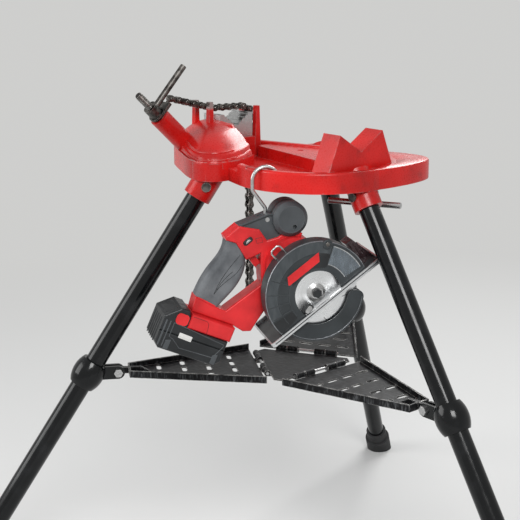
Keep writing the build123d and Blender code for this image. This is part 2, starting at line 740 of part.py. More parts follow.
with BuildPart() as tray_center:
    with BuildSketch(level(tray_floor)):
        RegularPolygon(2 * (hinge_radius - HINGE_EDGE), 3, rotation=60)
        chamfer(vertices(), length=TRAY_CORNER_CUT)
    extrude(amount=TRAY_SHEET)
    for azimuth in LEG_AZIMUTHS.values():
        for hand in (-1, 1):
            with BuildSketch(tray_plane(azimuth, tray_floor)):
                with Locations((hinge_radius - HINGE_EDGE / 2, hand * KNUCKLE_OFFSET)):
                    Rectangle(HINGE_EDGE + TRAY_SHEET, KNUCKLE)
            extrude(amount=TRAY_SHEET)
            with BuildSketch(hinge_plane(azimuth, hand * KNUCKLE_OFFSET)):
                Circle(HINGE_DIA / 2)
            extrude(amount=KNUCKLE / 2, both=True)
            with BuildSketch(hinge_plane(azimuth, hand * KNUCKLE_OFFSET)):
                Circle(HINGE_PIN_DIA / 2 + FIT)
            extrude(amount=KNUCKLE, both=True, mode=Mode.SUBTRACT)
keep(tray_center, "tray_center")

with BuildPart() as tray_hinge_pins:
    for azimuth in LEG_AZIMUTHS.values():
        with BuildSketch(hinge_plane(azimuth, 0)):
            Circle(HINGE_PIN_DIA / 2)
        extrude(amount=KNUCKLE_OFFSET + KNUCKLE / 2 + HINGE_PIN_DIA / 2, both=True)
keep(tray_hinge_pins, "tray_hinge_pins")

for side_name, azimuth in LEG_AZIMUTHS.items():
    slot_middle = WING_PIN_RADIUS + wing_creep / 2
    tongue_end = WING_PIN_RADIUS + wing_creep + COLLAR_BOLT_DIA
    with BuildPart() as wing:
        with BuildSketch(tray_plane(azimuth, tray_floor)):
            Polygon((wing_start, -wing_half), (WING_END, -WING_END_HALF), (WING_END, WING_END_HALF),
                    (wing_start, wing_half), align=None)
        extrude(amount=TRAY_RIM)
        with BuildSketch(tray_plane(azimuth, tray_floor + TRAY_SHEET)):
            Polygon((wing_start, TRAY_SHEET - wing_half), (WING_END - TRAY_SHEET, TRAY_SHEET - WING_END_HALF),
                    (WING_END - TRAY_SHEET, WING_END_HALF - TRAY_SHEET), (wing_start, wing_half - TRAY_SHEET),
                    align=None)
        extrude(amount=TRAY_RIM, mode=Mode.SUBTRACT)
        for row, count in enumerate(WING_SLOTS):
            with BuildSketch(tray_plane(azimuth, tray_floor)):
                with Locations((wing_start + WING_SLOT_STEP * (row + 1), 0)):
                    with GridLocations(1, WING_SLOT_PITCH, 1, count):
                        SlotOverall(WING_SLOT_LENGTH, WING_SLOT_WIDE, rotation=90)
            extrude(amount=TRAY_SHEET, mode=Mode.SUBTRACT)
        for hand in (-1, 1):
            with BuildSketch(tray_plane(azimuth, tray_floor)):
                with Locations((hinge_radius + HINGE_EDGE / 2, hand * wing_knuckle)):
                    Rectangle(HINGE_EDGE + TRAY_SHEET, KNUCKLE)
            extrude(amount=TRAY_SHEET)
            with BuildSketch(hinge_plane(azimuth, hand * wing_knuckle)):
                Circle(HINGE_DIA / 2)
            extrude(amount=KNUCKLE / 2, both=True)
            with BuildSketch(hinge_plane(azimuth, hand * wing_knuckle)):
                Circle(HINGE_PIN_DIA / 2 + FIT)
            extrude(amount=KNUCKLE, both=True, mode=Mode.SUBTRACT)
        with BuildSketch(upright(azimuth)):
            Polygon((WING_END - TONGUE_ROOT, tray_floor), (tongue_end, tray_floor + TRAY_SHEET),
                    (tongue_end, -TRAY_DROP + COLLAR_BOLT_DIA), (WING_END - TONGUE_ROOT / 2, tray_floor + TRAY_RIM),
                    align=None)
        extrude(amount=TONGUE / 2, both=True)
        with BuildSketch(upright(azimuth)):
            with Locations((slot_middle, -TRAY_DROP)):
                SlotCenterToCenter(wing_creep + 2 * SLOT_PLAY, COLLAR_BOLT_DIA + 2 * SLOT_PLAY)
        extrude(amount=TONGUE, both=True, mode=Mode.SUBTRACT)
    keep(wing, f"tray_wing_{side_name}")

ear_inner = TONGUE / 2 + 2 * GAP
ear_outer = ear_inner + EAR_THICK
collar_radius = LEG_CIRCLE + TRAY_DROP * tan(LEG_SPLAY)
with BuildPart() as leg_collars:
    for azimuth in LEG_AZIMUTHS.values():
        leg_down = leg_plane(azimuth, TRAY_DROP).z_dir
        centre = on_leg(azimuth, TRAY_DROP)
        with BuildSketch(Plane(origin=centre, x_dir=across(azimuth), z_dir=across(azimuth).cross(leg_down))):
            with BuildLine():
                end_radius = LEG_OD / 2 + COLLAR_WALL
                Polyline((end_radius, -COLLAR_LENGTH / 2), (0, -COLLAR_LENGTH / 2), (0, COLLAR_LENGTH / 2),
                         (end_radius, COLLAR_LENGTH / 2))
                ThreePointArc((end_radius, COLLAR_LENGTH / 2), (COLLAR_DIA / 2, 0), (end_radius, -COLLAR_LENGTH / 2))
            make_face()
        revolve(axis=Axis(centre, leg_down))
        for hand in (-1, 1):
            with BuildSketch(upright(azimuth, hand * (ear_inner + EAR_THICK / 2))):
                with Locations((WING_PIN_RADIUS, -TRAY_DROP)):
                    Circle(EAR_RADIUS)
                with Locations(((WING_PIN_RADIUS + collar_radius) / 2, -TRAY_DROP)):
                    Rectangle(collar_radius - WING_PIN_RADIUS, 2 * EAR_RADIUS)
                with Locations((WING_PIN_RADIUS, -TRAY_DROP)):
                    Circle(COLLAR_BOLT_DIA / 2 + FIT, mode=Mode.SUBTRACT)
            extrude(amount=EAR_THICK / 2, both=True)
        with BuildSketch(leg_plane(azimuth, TRAY_DROP - COLLAR_DIA)):
            Circle(LEG_OD / 2 + FIT)
        extrude(amount=3 * COLLAR_DIA, mode=Mode.SUBTRACT)
keep(leg_collars, "leg_collars")

with BuildPart() as collar_bolts:
    for azimuth in LEG_AZIMUTHS.values():
        with BuildSketch(upright(azimuth)):
            with Locations((WING_PIN_RADIUS, -TRAY_DROP)):
                Circle(COLLAR_BOLT_DIA / 2)
        extrude(amount=ear_outer, both=True)
        for hand in (-1, 1):
            with BuildSketch(upright(azimuth, hand * (ear_outer + BOLT_HEAD / 2))):
                with Locations((WING_PIN_RADIUS, -TRAY_DROP)):
                    RegularPolygon(COLLAR_BOLT_DIA * 0.95, 6)
            extrude(amount=BOLT_HEAD / 2, both=True)
keep(collar_bolts, "collar_bolts")

# Saw frame: forward along the shoe, up square to it, near towards the blade side
near = Vector(sin(SAW_HEADING), -cos(SAW_HEADING), 0)
heading = Vector(cos(SAW_HEADING), sin(SAW_HEADING), 0)
forward = heading * cos(SAW_PITCH) + Vector(0, 0, sin(SAW_PITCH))
upward = near.cross(forward)
slide_way = forward * cos(FACE_ANGLE) + upward * sin(FACE_ANGLE)

# The rim's front arc, on whose middle line the hook hangs
with BuildLine() as rim_arc:
    ThreePointArc((0, -BASE_HALF), (NOSE_X, NOSE_STEP - BASE_HALF), (BASE_FRONT, 0))
arc_middle = rim_arc.edges()[0].arc_center
arc_radius = rim_arc.edges()[0].radius - RIM_THICK / 2
hook_y = arc_middle.Y - sqrt(arc_radius ** 2 - (HOOK_X - arc_middle.X) ** 2)
hook_centre = stand(HOOK_X, hook_y, RIM_HEIGHT - HOOK_SINK)
eye_centre = hook_centre - Vector(0, 0, HOOK_DROP)
arbor = eye_centre - forward * EYE_F - upward * EYE_U


def saw(f, u, n=0.0):
    """A point of the saw, from the arbor in the handle's middle plane."""
    return arbor + forward * f + upward * u + near * n


def side(n):
    """A plane of the saw facing the blade side: x forward, y up."""
    return Plane(origin=saw(0, 0, n), x_dir=forward, z_dir=near)


def turned(n, angle):
    """A plane about the arbor facing the blade side: x points out at an angle, in degrees, from forward."""
    ray = forward * cos(radians(angle)) + upward * sin(radians(angle))
    return Plane(origin=saw(0, 0, n), x_dir=ray, z_dir=near)


def lathe(f, u):
    """A plane through a cross axis of the saw: x is the radius, y runs to the blade side."""
    return Plane(origin=saw(f, u), x_dir=upward, z_dir=forward)


def battery_side(n):
    """A plane of the battery: x along its slide, y towards the handle."""
    return Plane(origin=saw(FACE_F, FACE_U, n), x_dir=slide_way, z_dir=near)


def sector(inner, outer, start, end):
    """A ring sector between two angles, in degrees from forward towards up."""
    middle = (start + end) / 2
    rays = [(2 * outer * cos(radians(a)), 2 * outer * sin(radians(a))) for a in (start, middle, end)]
    with BuildSketch() as plan:
        Circle(outer)
        Circle(inner, mode=Mode.SUBTRACT)
        Polygon((0, 0), *rays, align=None, mode=Mode.INTERSECT)
    return plan.sketch


def above_shoe(radius):
    """A disc about the arbor, cut off level with the shoe."""
    with BuildSketch() as plan:
        Circle(radius)
        with Locations((0, SHOE_TOP - radius)):
            Rectangle(4 * radius, 2 * radius, mode=Mode.SUBTRACT)
    return plan.sketch


# Hanging hook and its pin
eye_inner = HOOK_PIN_DIA / 2 + FIT
eye_outer = eye_inner + EYE_WALL
eye_half = HOOK_WIRE / 2 + EYE_PROUD
with BuildPart() as hang_hook:
    with BuildLine(Plane(origin=hook_centre, x_dir=heading, z_dir=near)) as hook_path:
        Line((HOOK_RADIUS, -HOOK_TIP), (HOOK_RADIUS, 0))
        CenterArc((0, 0), HOOK_RADIUS, 0, 180)
        FilletPolyline((-HOOK_RADIUS, 0), (-HOOK_RADIUS, -HOOK_SHANK), (0, -HOOK_DROP + HOOK_NECK),
                       (0, -HOOK_DROP + (eye_inner + eye_outer) / 2), radius=HOOK_WIRE)
    with BuildSketch(Plane(origin=hook_path.line @ 0, z_dir=hook_path.line % 0)):
        Circle(HOOK_WIRE / 2)
    sweep()
    with BuildSketch(Plane(origin=eye_centre, x_dir=heading, z_dir=near)):
        Circle(eye_outer)
    extrude(amount=eye_half, both=True)
    with BuildSketch(Plane(origin=eye_centre, x_dir=heading, z_dir=near)):
        Circle(eye_inner)
    extrude(amount=HOOK_WIRE, both=True, mode=Mode.SUBTRACT)
keep(hang_hook, "hang_hook")

with BuildPart() as hook_pin:
    with BuildSketch(side(0)):
        with Locations((EYE_F, EYE_U)):
            Circle(HOOK_PIN_DIA / 2)
    extrude(amount=BAR_HALF, both=True)
keep(hook_pin, "hook_pin")

# Blade with its flanges, bolt and spindle
blade_far = BLADE_N - BLADE_THICK / 2
blade_near = BLADE_N + BLADE_THICK / 2
nose_end = blade_far - FLANGE_THICK - GAP
arbor_axis = Axis(arbor, near)
with BuildPart() as blade:
    with BuildSketch(side(blade_far)):
        Circle(BLADE_DIA / 2)
        Circle(ARBOR_DIA / 2, mode=Mode.SUBTRACT)
        with PolarLocations(BLADE_DIA / 2, BLADE_TEETH):
            Polygon((1, -1), (-TOOTH_CUT, 0), (-TOOTH_CUT, TOOTH_CUT / 3), (1, TOOTH_CUT * 1.4), align=None,
                    mode=Mode.SUBTRACT)
    extrude(amount=BLADE_THICK)
keep(blade, "blade")

with BuildPart() as inner_flange:
    with BuildSketch(lathe(0, 0)):
        Polygon((SPINDLE_DIA / 2 + FIT, blade_far - FLANGE_THICK), (FLANGE_DIA / 2, blade_far - FLANGE_THICK),
                (FLANGE_DIA / 2, blade_far), (ARBOR_DIA / 2 - FIT, blade_far), (ARBOR_DIA / 2 - FIT, BLADE_N),
                (SPINDLE_DIA / 2 + FIT, BLADE_N), align=None)
    revolve(axis=arbor_axis)
keep(inner_flange, "inner_flange")

with BuildPart() as outer_flange:
    with BuildSketch(lathe(0, 0)):
        Polygon((BOLT_DIA / 2 + FIT, blade_near), (FLANGE_DIA / 2, blade_near),
                (FLANGE_DIA / 2, blade_near + FLANGE_THICK / 2), (BOLT_HEX * 0.75, blade_near + FLANGE_THICK),
                (BOLT_DIA / 2 + FIT, blade_near + FLANGE_THICK), align=None)
    revolve(axis=arbor_axis)
keep(outer_flange, "outer_flange")

with BuildPart() as blade_bolt:
    with BuildSketch(side(blade_near + FLANGE_THICK)):
        RegularPolygon(BOLT_HEX / 2, 6, major_radius=False)
    extrude(amount=BOLT_RISE)
    with BuildSketch(side(blade_near + FLANGE_THICK)):
        Circle(BOLT_DIA / 2)
    extrude(amount=-BOLT_LENGTH)
keep(blade_bolt, "blade_bolt")

with BuildPart() as spindle:
    with BuildSketch(side(CASE_FAR + CASE_WALL)):
        Circle(SPINDLE_DIA / 2)
    extrude(amount=BLADE_N - CASE_FAR - CASE_WALL)
    with BuildSketch(side(BLADE_N)):
        Circle(BOLT_DIA / 2 + FIT)
    extrude(amount=-BOLT_LENGTH, mode=Mode.SUBTRACT)
keep(spindle, "spindle")

# Gear case with the nose that the lower guard turns on
with BuildPart() as gear_case:
    with BuildSketch(side(CASE_FAR)):
        Circle(CASE_RADIUS)
        with Locations((MOTOR_F, MOTOR_U)):
            Circle(MOTOR_DIA / 2)
        make_hull()
    extrude(amount=GUARD_FAR - CASE_FAR)
    with BuildSketch(side(GUARD_FAR)):
        Circle(HUB_DIA / 2)
    extrude(amount=nose_end - GUARD_FAR)
    with BuildSketch(side(CASE_FAR)):
        with Locations((MOTOR_F, MOTOR_U)):
            Circle(MOTOR_DIA / 2 - 2 * CASE_WALL)
    extrude(amount=GUARD_FAR - CASE_FAR - CASE_WALL, mode=Mode.SUBTRACT)
    with BuildSketch(side(CASE_FAR + CASE_WALL - GAP)):
        Circle(SPINDLE_DIA / 2 + 1)
    extrude(amount=nose_end - CASE_FAR, mode=Mode.SUBTRACT)
    with BuildSketch(side(nose_end - BEARING_WIDE - GAP)):
        Circle(BEARING_DIA / 2 + FIT)
    extrude(amount=BEARING_WIDE + GAP, mode=Mode.SUBTRACT)
keep(gear_case, "gear_case")

with BuildPart() as spindle_bearing:
    with BuildSketch(side(nose_end - BEARING_WIDE - GAP)):
        Circle(BEARING_DIA / 2)
        Circle(SPINDLE_DIA / 2 + FIT, mode=Mode.SUBTRACT)
    extrude(amount=BEARING_WIDE)
keep(spindle_bearing, "spindle_bearing")

# Motor on the far side
motor_axis = Axis(saw(MOTOR_F, MOTOR_U), near)
motor_inner = MOTOR_DIA / 2 - MOTOR_WALL
with BuildPart() as motor_housing:
    with BuildSketch(side(CASE_FAR)):
        with Locations((MOTOR_F, MOTOR_U)):
            Circle(MOTOR_DIA / 2)
            Circle(motor_inner, mode=Mode.SUBTRACT)
    extrude(amount=MOTOR_FAR - CASE_FAR)
keep(motor_housing, "motor_housing")

with BuildPart() as motor_cap:
    with BuildSketch(lathe(MOTOR_F, MOTOR_U)):
        Polygon((0, MOTOR_FAR), (MOTOR_DIA / 2, MOTOR_FAR), (MOTOR_DIA / 2, MOTOR_FAR - CAP_DEPTH / 2),
                (MOTOR_DIA / 2 - CAP_DEPTH / 2, MOTOR_FAR - CAP_DEPTH), (0, MOTOR_FAR - CAP_DEPTH), align=None)
    revolve(axis=motor_axis)
    with BuildSketch(side(MOTOR_FAR - CAP_DEPTH)):
        with Locations((MOTOR_F, MOTOR_U)):
            with PolarLocations(MOTOR_DIA / 4, CAP_VENTS):
                SlotOverall(MOTOR_DIA / 4, CAP_VENT_WIDE)
    extrude(amount=CAP_DEPTH / 2, mode=Mode.SUBTRACT)
keep(motor_cap, "motor_cap")

with BuildPart() as motor_stator:
    with BuildSketch(side(STATOR_NEAR)):
        with Locations((MOTOR_F, MOTOR_U)):
            Circle(motor_inner - FIT)
            Circle(STATOR_BORE / 2, mode=Mode.SUBTRACT)
    extrude(amount=-STATOR_LENGTH)
keep(motor_stator, "motor_stator")

with BuildPart() as motor_rotor:
    with BuildSketch(side(STATOR_NEAR)):
        with Locations((MOTOR_F, MOTOR_U)):
            Circle(ROTOR_DIA / 2)
    extrude(amount=-STATOR_LENGTH)
    with BuildSketch(side(CASE_FAR - GAP)):
        with Locations((MOTOR_F, MOTOR_U)):
            Circle(ROTOR_SHAFT / 2)
    extrude(amount=MOTOR_FAR - CASE_FAR + 2 * GAP)
keep(motor_rotor, "motor_rotor")

# Upper guard with its window and bare badge plate
guard_inner = GUARD_DIA / 2 - GUARD_WALL
window_outer = GUARD_DIA / 2 - WINDOW_MARGIN
with BuildPart() as upper_guard:
    with BuildSketch(side(GUARD_FAR)):
        add(above_shoe(GUARD_DIA / 2))
    extrude(amount=GUARD_NEAR - GUARD_FAR)
    chamfer(upper_guard.faces().sort_by(arbor_axis)[-1].edges().filter_by(GeomType.CIRCLE), length=GUARD_WALL / 2)
    with BuildSketch(side(GUARD_FAR + GUARD_WALL)):
        add(above_shoe(guard_inner))
    extrude(amount=GUARD_NEAR - GUARD_FAR - 2 * GUARD_WALL, mode=Mode.SUBTRACT)
    with BuildSketch(side(GUARD_FAR)):
        Circle(HUB_DIA / 2 + FIT)
    extrude(amount=GUARD_WALL, mode=Mode.SUBTRACT)
    with BuildSketch(side(GUARD_NEAR)):
        Circle(GUARD_MOUTH_DIA / 2)
        add(sector(WINDOW_INNER, window_outer, WINDOW_FROM, WINDOW_TO))
    extrude(amount=-GUARD_WALL, mode=Mode.SUBTRACT)
keep(upper_guard, "upper_guard")

with BuildPart() as guard_window:
    with BuildSketch(side(GUARD_NEAR - GUARD_WALL)):
        edge_share = degrees(FIT / WINDOW_INNER)
        add(sector(WINDOW_INNER + FIT, window_outer - FIT, WINDOW_FROM + edge_share, WINDOW_TO - edge_share))
    extrude(amount=WINDOW_THICK)
keep(guard_window, "guard_window")

with BuildPart() as badge_plate:
    with BuildSketch(side(GUARD_NEAR)):
        Polygon((BADGE_REAR, BADGE_LOW), (BADGE_FRONT - BADGE_SLANT, BADGE_LOW), (BADGE_FRONT, BADGE_HIGH),
                (BADGE_REAR + BADGE_SLANT, BADGE_HIGH), align=None)
    extrude(amount=BADGE_THICK)
keep(badge_plate, "badge_plate")


# Lower guard and its lever
def rounded_sector(inner):
    """The lower guard's ring from an inner radius out, with its front corners rounded to a nose."""
    with BuildSketch() as plan:
        add(sector(inner, LOWER_DIA / 2, LOWER_FROM, LOWER_FROM + LOWER_SPAN))
        nose_angle = radians(LOWER_FROM + LOWER_SPAN)
        nose_ray = Vector(cos(nose_angle), sin(nose_angle))
        nose = [v for v in plan.vertices() if Vector(v.X, v.Y).dot(nose_ray) > Vector(v.X, v.Y).length - FIT]
        fillet(nose, radius=min(LOWER_NOSE, (LOWER_DIA / 2 - inner) * 0.4))
    return plan.sketch


lower_far = BLADE_N - LOWER_WIDE / 2
lower_near = BLADE_N + LOWER_WIDE / 2
with BuildPart() as lower_guard:
    with BuildSketch(side(lower_far)):
        add(rounded_sector(HUB_DIA / 2 + FIT))
        Circle(HUB_DIA / 2 + FIT + HUB_WALL)
        Circle(HUB_DIA / 2 + FIT, mode=Mode.SUBTRACT)
    extrude(amount=LOWER_WALL)
    with BuildSketch(side(lower_far)):
        add(rounded_sector(HUB_DIA / 2 + FIT))
        Circle(LOWER_DIA / 2 - LOWER_WALL, mode=Mode.SUBTRACT)
    extrude(amount=LOWER_WIDE)
    with BuildSketch(side(lower_near)):
        add(rounded_sector(LOWER_INNER / 2))
    extrude(amount=-LOWER_WALL)
keep(lower_guard, "lower_guard")

lever_pad = GUARD_MOUTH_DIA / 2 - 2
lever_root = LOWER_INNER / 2 + LEVER_WIDE
lever_plane = turned(lower_near, LEVER_ANGLE)
pad_plane = lever_plane.offset(LEVER_THICK)
with BuildPart() as guard_lever:
    with BuildSketch(lever_plane):
        with Locations(((LEVER_FROM + lever_root) / 2, 0)):
            Rectangle(lever_root - LEVER_FROM, LEVER_WIDE)
    extrude(amount=LEVER_THICK)
    with BuildSketch(pad_plane):
        with Locations(((LEVER_FROM + lever_pad) / 2, 0)):
            Rectangle(lever_pad - LEVER_FROM, LEVER_WIDE)
    extrude(amount=LEVER_RISE)
keep(guard_lever, "guard_lever")

# Shoe plate with a turned-up lip
shoe_mid_f = (SHOE_REAR + SHOE_FRONT) / 2
shoe_mid_n = (SHOE_NEAR + SHOE_FAR) / 2
shoe_plane = Plane(origin=saw(shoe_mid_f, SHOE_TOP - SHOE_SHEET, shoe_mid_n), x_dir=forward, z_dir=upward)
with BuildPart() as shoe:
    with BuildSketch(shoe_plane):
        RectangleRounded(SHOE_FRONT - SHOE_REAR, SHOE_NEAR - SHOE_FAR, SHOE_CORNER)
    extrude(amount=SHOE_SHEET + SHOE_RIM)
    with BuildSketch(shoe_plane.offset(SHOE_SHEET)):
        RectangleRounded(SHOE_FRONT - SHOE_REAR - 2 * SHOE_SHEET, SHOE_NEAR - SHOE_FAR - 2 * SHOE_SHEET,
                         SHOE_CORNER - SHOE_SHEET)
    extrude(amount=SHOE_RIM, mode=Mode.SUBTRACT)
    with BuildSketch(shoe_plane):
        with Locations((-shoe_mid_f, shoe_mid_n - BLADE_N)):
            Rectangle(2 * SHOE_SLOT_HALF, GUARD_NEAR - GUARD_FAR - 2 * GUARD_WALL)
    extrude(amount=SHOE_SHEET, mode=Mode.SUBTRACT)
keep(shoe, "shoe")

with BuildPart() as chip_deflector:
    with BuildSketch(side(DEFLECTOR_FAR)):
        Polygon((DEFLECTOR_REAR, SHOE_TOP), (SHOE_FRONT - SHOE_SHEET - GAP, SHOE_TOP),
                (SHOE_FRONT - DEFLECTOR_LEAN, DEFLECTOR_TOP), (DEFLECTOR_REAR, DEFLECTOR_TOP), align=None)
    extrude(amount=GUARD_FAR - DEFLECTOR_FAR)
keep(chip_deflector, "chip_deflector")

with BuildPart() as key_clip:
    clip_low = GUARD_DIA / 2 + FIT
    with BuildLine(turned(BLADE_N, CLIP_ANGLE)) as clip_path:
        FilletPolyline((clip_low, -CLIP_HALF), (clip_low + CLIP_RISE, -CLIP_HALF), (clip_low + CLIP_RISE, CLIP_HALF),
                       (clip_low, CLIP_HALF), radius=CLIP_HALF * 0.7)
    with BuildSketch(Plane(origin=clip_path.line @ 0, z_dir=clip_path.line % 0)):
        Circle(CLIP_WIRE / 2)
    sweep()
keep(key_clip, "key_clip")


# Handle: two shells, grip, battery foot and front handle
def face_point(along, inward):
    """A point of the battery's seat as forward and up, along its slide and in towards the handle."""
    return (FACE_F + along * cos(FACE_ANGLE) - inward * sin(FACE_ANGLE),
            FACE_U + along * sin(FACE_ANGLE) + inward * cos(FACE_ANGLE))


switch_edge = [(-9.5, 108), (-8.5, 130), (-24, 147), (-31, 155.5)]
grip_front = [(-60, 150), (-51, 136), (-54, 104)]
grip_back = [(-135, 71), (-151, 110)]
bar_under = [(34, 100), (7, 101)]
finger_edge = [(-45, 101), (-30, 98), (-52, 67), (-58, 57), (-129, 60)]
arm_under = [(-128, 14), (-118, 6), (-98, 13), (-44, 30)]
shell_points = [*grip_front, *finger_edge, *grip_back, face_point(SEAT_TOP, FOOT_DEEP), face_point(SEAT_END, FOOT_DEEP),
                *arm_under, (MOTOR_F, MOTOR_U), (42, 80), *bar_under, *switch_edge, (-58, 155)]
screw_spots = [(-44, 147), (-22, 108), (-72, 42), (-112, 40), (-157, 96)]


def handle_shell(hand):
    """One half of the handle, on the near (1) or the far (-1) side of its parting plane."""
    with BuildPart() as shell:
        with BuildSketch(side(0)):
            Polygon(*shell_points, align=None)
        extrude(amount=hand * SHELL_HALF)
        outer = shell.faces().sort_by(arbor_axis)[-1 if hand > 0 else 0]
        fillet(outer.edges(), radius=SHELL_ROUND)
        with BuildSketch(side(0)):
            with Locations((MOTOR_F, MOTOR_U)):
                Circle(MOTOR_DIA / 2 + FIT)
            with Locations((KNOB_F, KNOB_U)):
                Circle(KNOB_DIA / 2 + GAP)
        extrude(amount=hand * SHELL_HALF, mode=Mode.SUBTRACT)
        with BuildSketch(side(0)):
            with Locations((TRIGGER_F, (TRIGGER_LOW + TRIGGER_TOP + TRIGGER_TRAVEL + GAP) / 2)):
                Rectangle(TRIGGER_WIDE + 2 * GAP, TRIGGER_TOP + TRIGGER_TRAVEL + GAP - TRIGGER_LOW)
        extrude(amount=hand * (TRIGGER_HALF + GAP), mode=Mode.SUBTRACT)
        with BuildSketch(side(0)):
            with Locations(*screw_spots):
                Circle(SHELL_SCREW / 2 + FIT)
        extrude(amount=hand * (SHELL_HALF if hand < 0 else SCREW_BITE), mode=Mode.SUBTRACT)
    return shell


shell_far = handle_shell(-1)
keep(shell_far, "handle_shell_far")

shell_near = handle_shell(1)
lock_inner = SHELL_HALF + LOCK_PROUD - LOCK_DEEP
with BuildPart() as shell_near_pocketed:
    add(shell_near.part)
    with BuildSketch(side(SHELL_HALF)):
        with Locations((LOCK_F, LOCK_U)):
            SlotOverall(LOCK_LENGTH + 2 * GAP, LOCK_WIDE + 2 * GAP)
    extrude(amount=lock_inner - LOCK_TRAVEL - GAP - SHELL_HALF, mode=Mode.SUBTRACT)
keep(shell_near_pocketed, "handle_shell_near")

with BuildPart() as housing_screws:
    with BuildSketch(side(-SHELL_HALF)):
        with Locations(*screw_spots):
            Circle(SCREW_HEAD_DIA / 2)
    extrude(amount=-SCREW_HEAD)
    with BuildSketch(side(-SHELL_HALF)):
        with Locations(*screw_spots):
            Circle(SHELL_SCREW / 2)
    extrude(amount=SHELL_HALF + SCREW_BITE - GAP)
keep(housing_screws, "housing_screws")

with BuildPart() as grip:
    with BuildSketch(side(-GRIP_HALF)):
        with BuildLine():
            Polyline(*grip_front)
            Spline(grip_front[-1], (-71, 88), (-93, 78.5), (-121, 73.5), grip_back[0])
            Line(*grip_back)
            Spline(grip_back[1], (-138, 117), (-110, 128), (-77, 137), grip_front[0])
        make_face()
    extrude(amount=2 * GRIP_HALF)
    grip_faces = grip.faces().sort_by(arbor_axis)
    long_edges = (grip_faces[0].edges() + grip_faces[-1].edges()).filter_by(GeomType.BSPLINE)
    fillet(long_edges, radius=GRIP_ROUND)
keep(grip, "grip")

with BuildPart() as front_handle:
    with BuildSketch(side(-BAR_HALF)):
        Polygon(*switch_edge, (18, 140), (34, 126), *bar_under, align=None)
    extrude(amount=2 * BAR_HALF)
    with BuildSketch(lathe(KNOB_F, KNOB_U)):
        Polygon((0, -KNOB_HALF), (KNOB_DIA / 2 - KNOB_EDGE, -KNOB_HALF), (KNOB_DIA / 2, KNOB_EDGE - KNOB_HALF),
                (KNOB_DIA / 2, KNOB_HALF - KNOB_EDGE), (KNOB_DIA / 2 - KNOB_EDGE, KNOB_HALF), (0, KNOB_HALF), align=None)
    revolve(axis=Axis(saw(KNOB_F, KNOB_U), near))
    with BuildSketch(side(KNOB_HALF)):
        with Locations((KNOB_F + KNOB_HOLE[0], KNOB_U + KNOB_HOLE[1])):
            Circle(KNOB_HOLE_DIA / 2)
    extrude(amount=-KNOB_EDGE, mode=Mode.SUBTRACT)
    with BuildSketch(side(0)):
        Polygon((EYE_F - HOOK_SLOT, EYE_U - eye_outer - 1), (EYE_F + HOOK_SLOT, EYE_U - eye_outer - 1),
                (EYE_F + 3 * HOOK_SLOT, EYE_U + 3 * HOOK_SLOT), (EYE_F - HOOK_SLOT, EYE_U + 3 * HOOK_SLOT), align=None)
    extrude(amount=eye_half + GAP, both=True, mode=Mode.SUBTRACT)
    with BuildSketch(side(0)):
        with Locations((EYE_F, EYE_U)):
            Circle(HOOK_PIN_DIA / 2 + FIT)
    extrude(amount=BAR_HALF, both=True, mode=Mode.SUBTRACT)
keep(front_handle, "front_handle")

with BuildPart() as battery_foot:
    with BuildSketch(battery_side(-FOOT_HALF)):
        with Locations(((SEAT_TOP + SEAT_END) / 2 - SEAT_LEAD / 2, FOOT_DEEP / 2)):
            Rectangle(SEAT_END - SEAT_TOP + SEAT_LEAD, FOOT_DEEP)
    extrude(amount=2 * FOOT_HALF)
    foot_faces = battery_foot.faces().sort_by(arbor_axis)
    fillet(foot_faces[0].edges() + foot_faces[-1].edges(), radius=SHELL_ROUND)
    with BuildSketch(battery_side(-RAIL_HALF - GAP)):
        with Locations((SEAT_END - SEAT_STOP - BATTERY_LENGTH, (RAIL_DEEP + GAP) / 2)):
            Rectangle(2 * BATTERY_LENGTH, RAIL_DEEP + GAP)
    extrude(amount=2 * (RAIL_HALF + GAP), mode=Mode.SUBTRACT)
keep(battery_foot, "battery_foot")

# Trigger and lock-off button
with BuildPart() as trigger:
    with BuildSketch(side(-TRIGGER_HALF)):
        with Locations((TRIGGER_F, (TRIGGER_LOW + TRIGGER_TOP) / 2)):
            Rectangle(TRIGGER_WIDE, TRIGGER_TOP - TRIGGER_LOW)
    extrude(amount=2 * TRIGGER_HALF)
    fillet(trigger.faces().sort_by(Axis(arbor, upward))[0].edges(), radius=TRIGGER_HALF / 3)
keep(trigger, "trigger")

with BuildPart() as lock_button:
    with BuildSketch(side(lock_inner)):
        with Locations((LOCK_F, LOCK_U)):
            SlotOverall(LOCK_LENGTH, LOCK_WIDE)
    extrude(amount=LOCK_DEEP)
    fillet(lock_button.faces().sort_by(arbor_axis)[-1].edges(), radius=LOCK_PROUD / 2)
keep(lock_button, "lock_off_button")

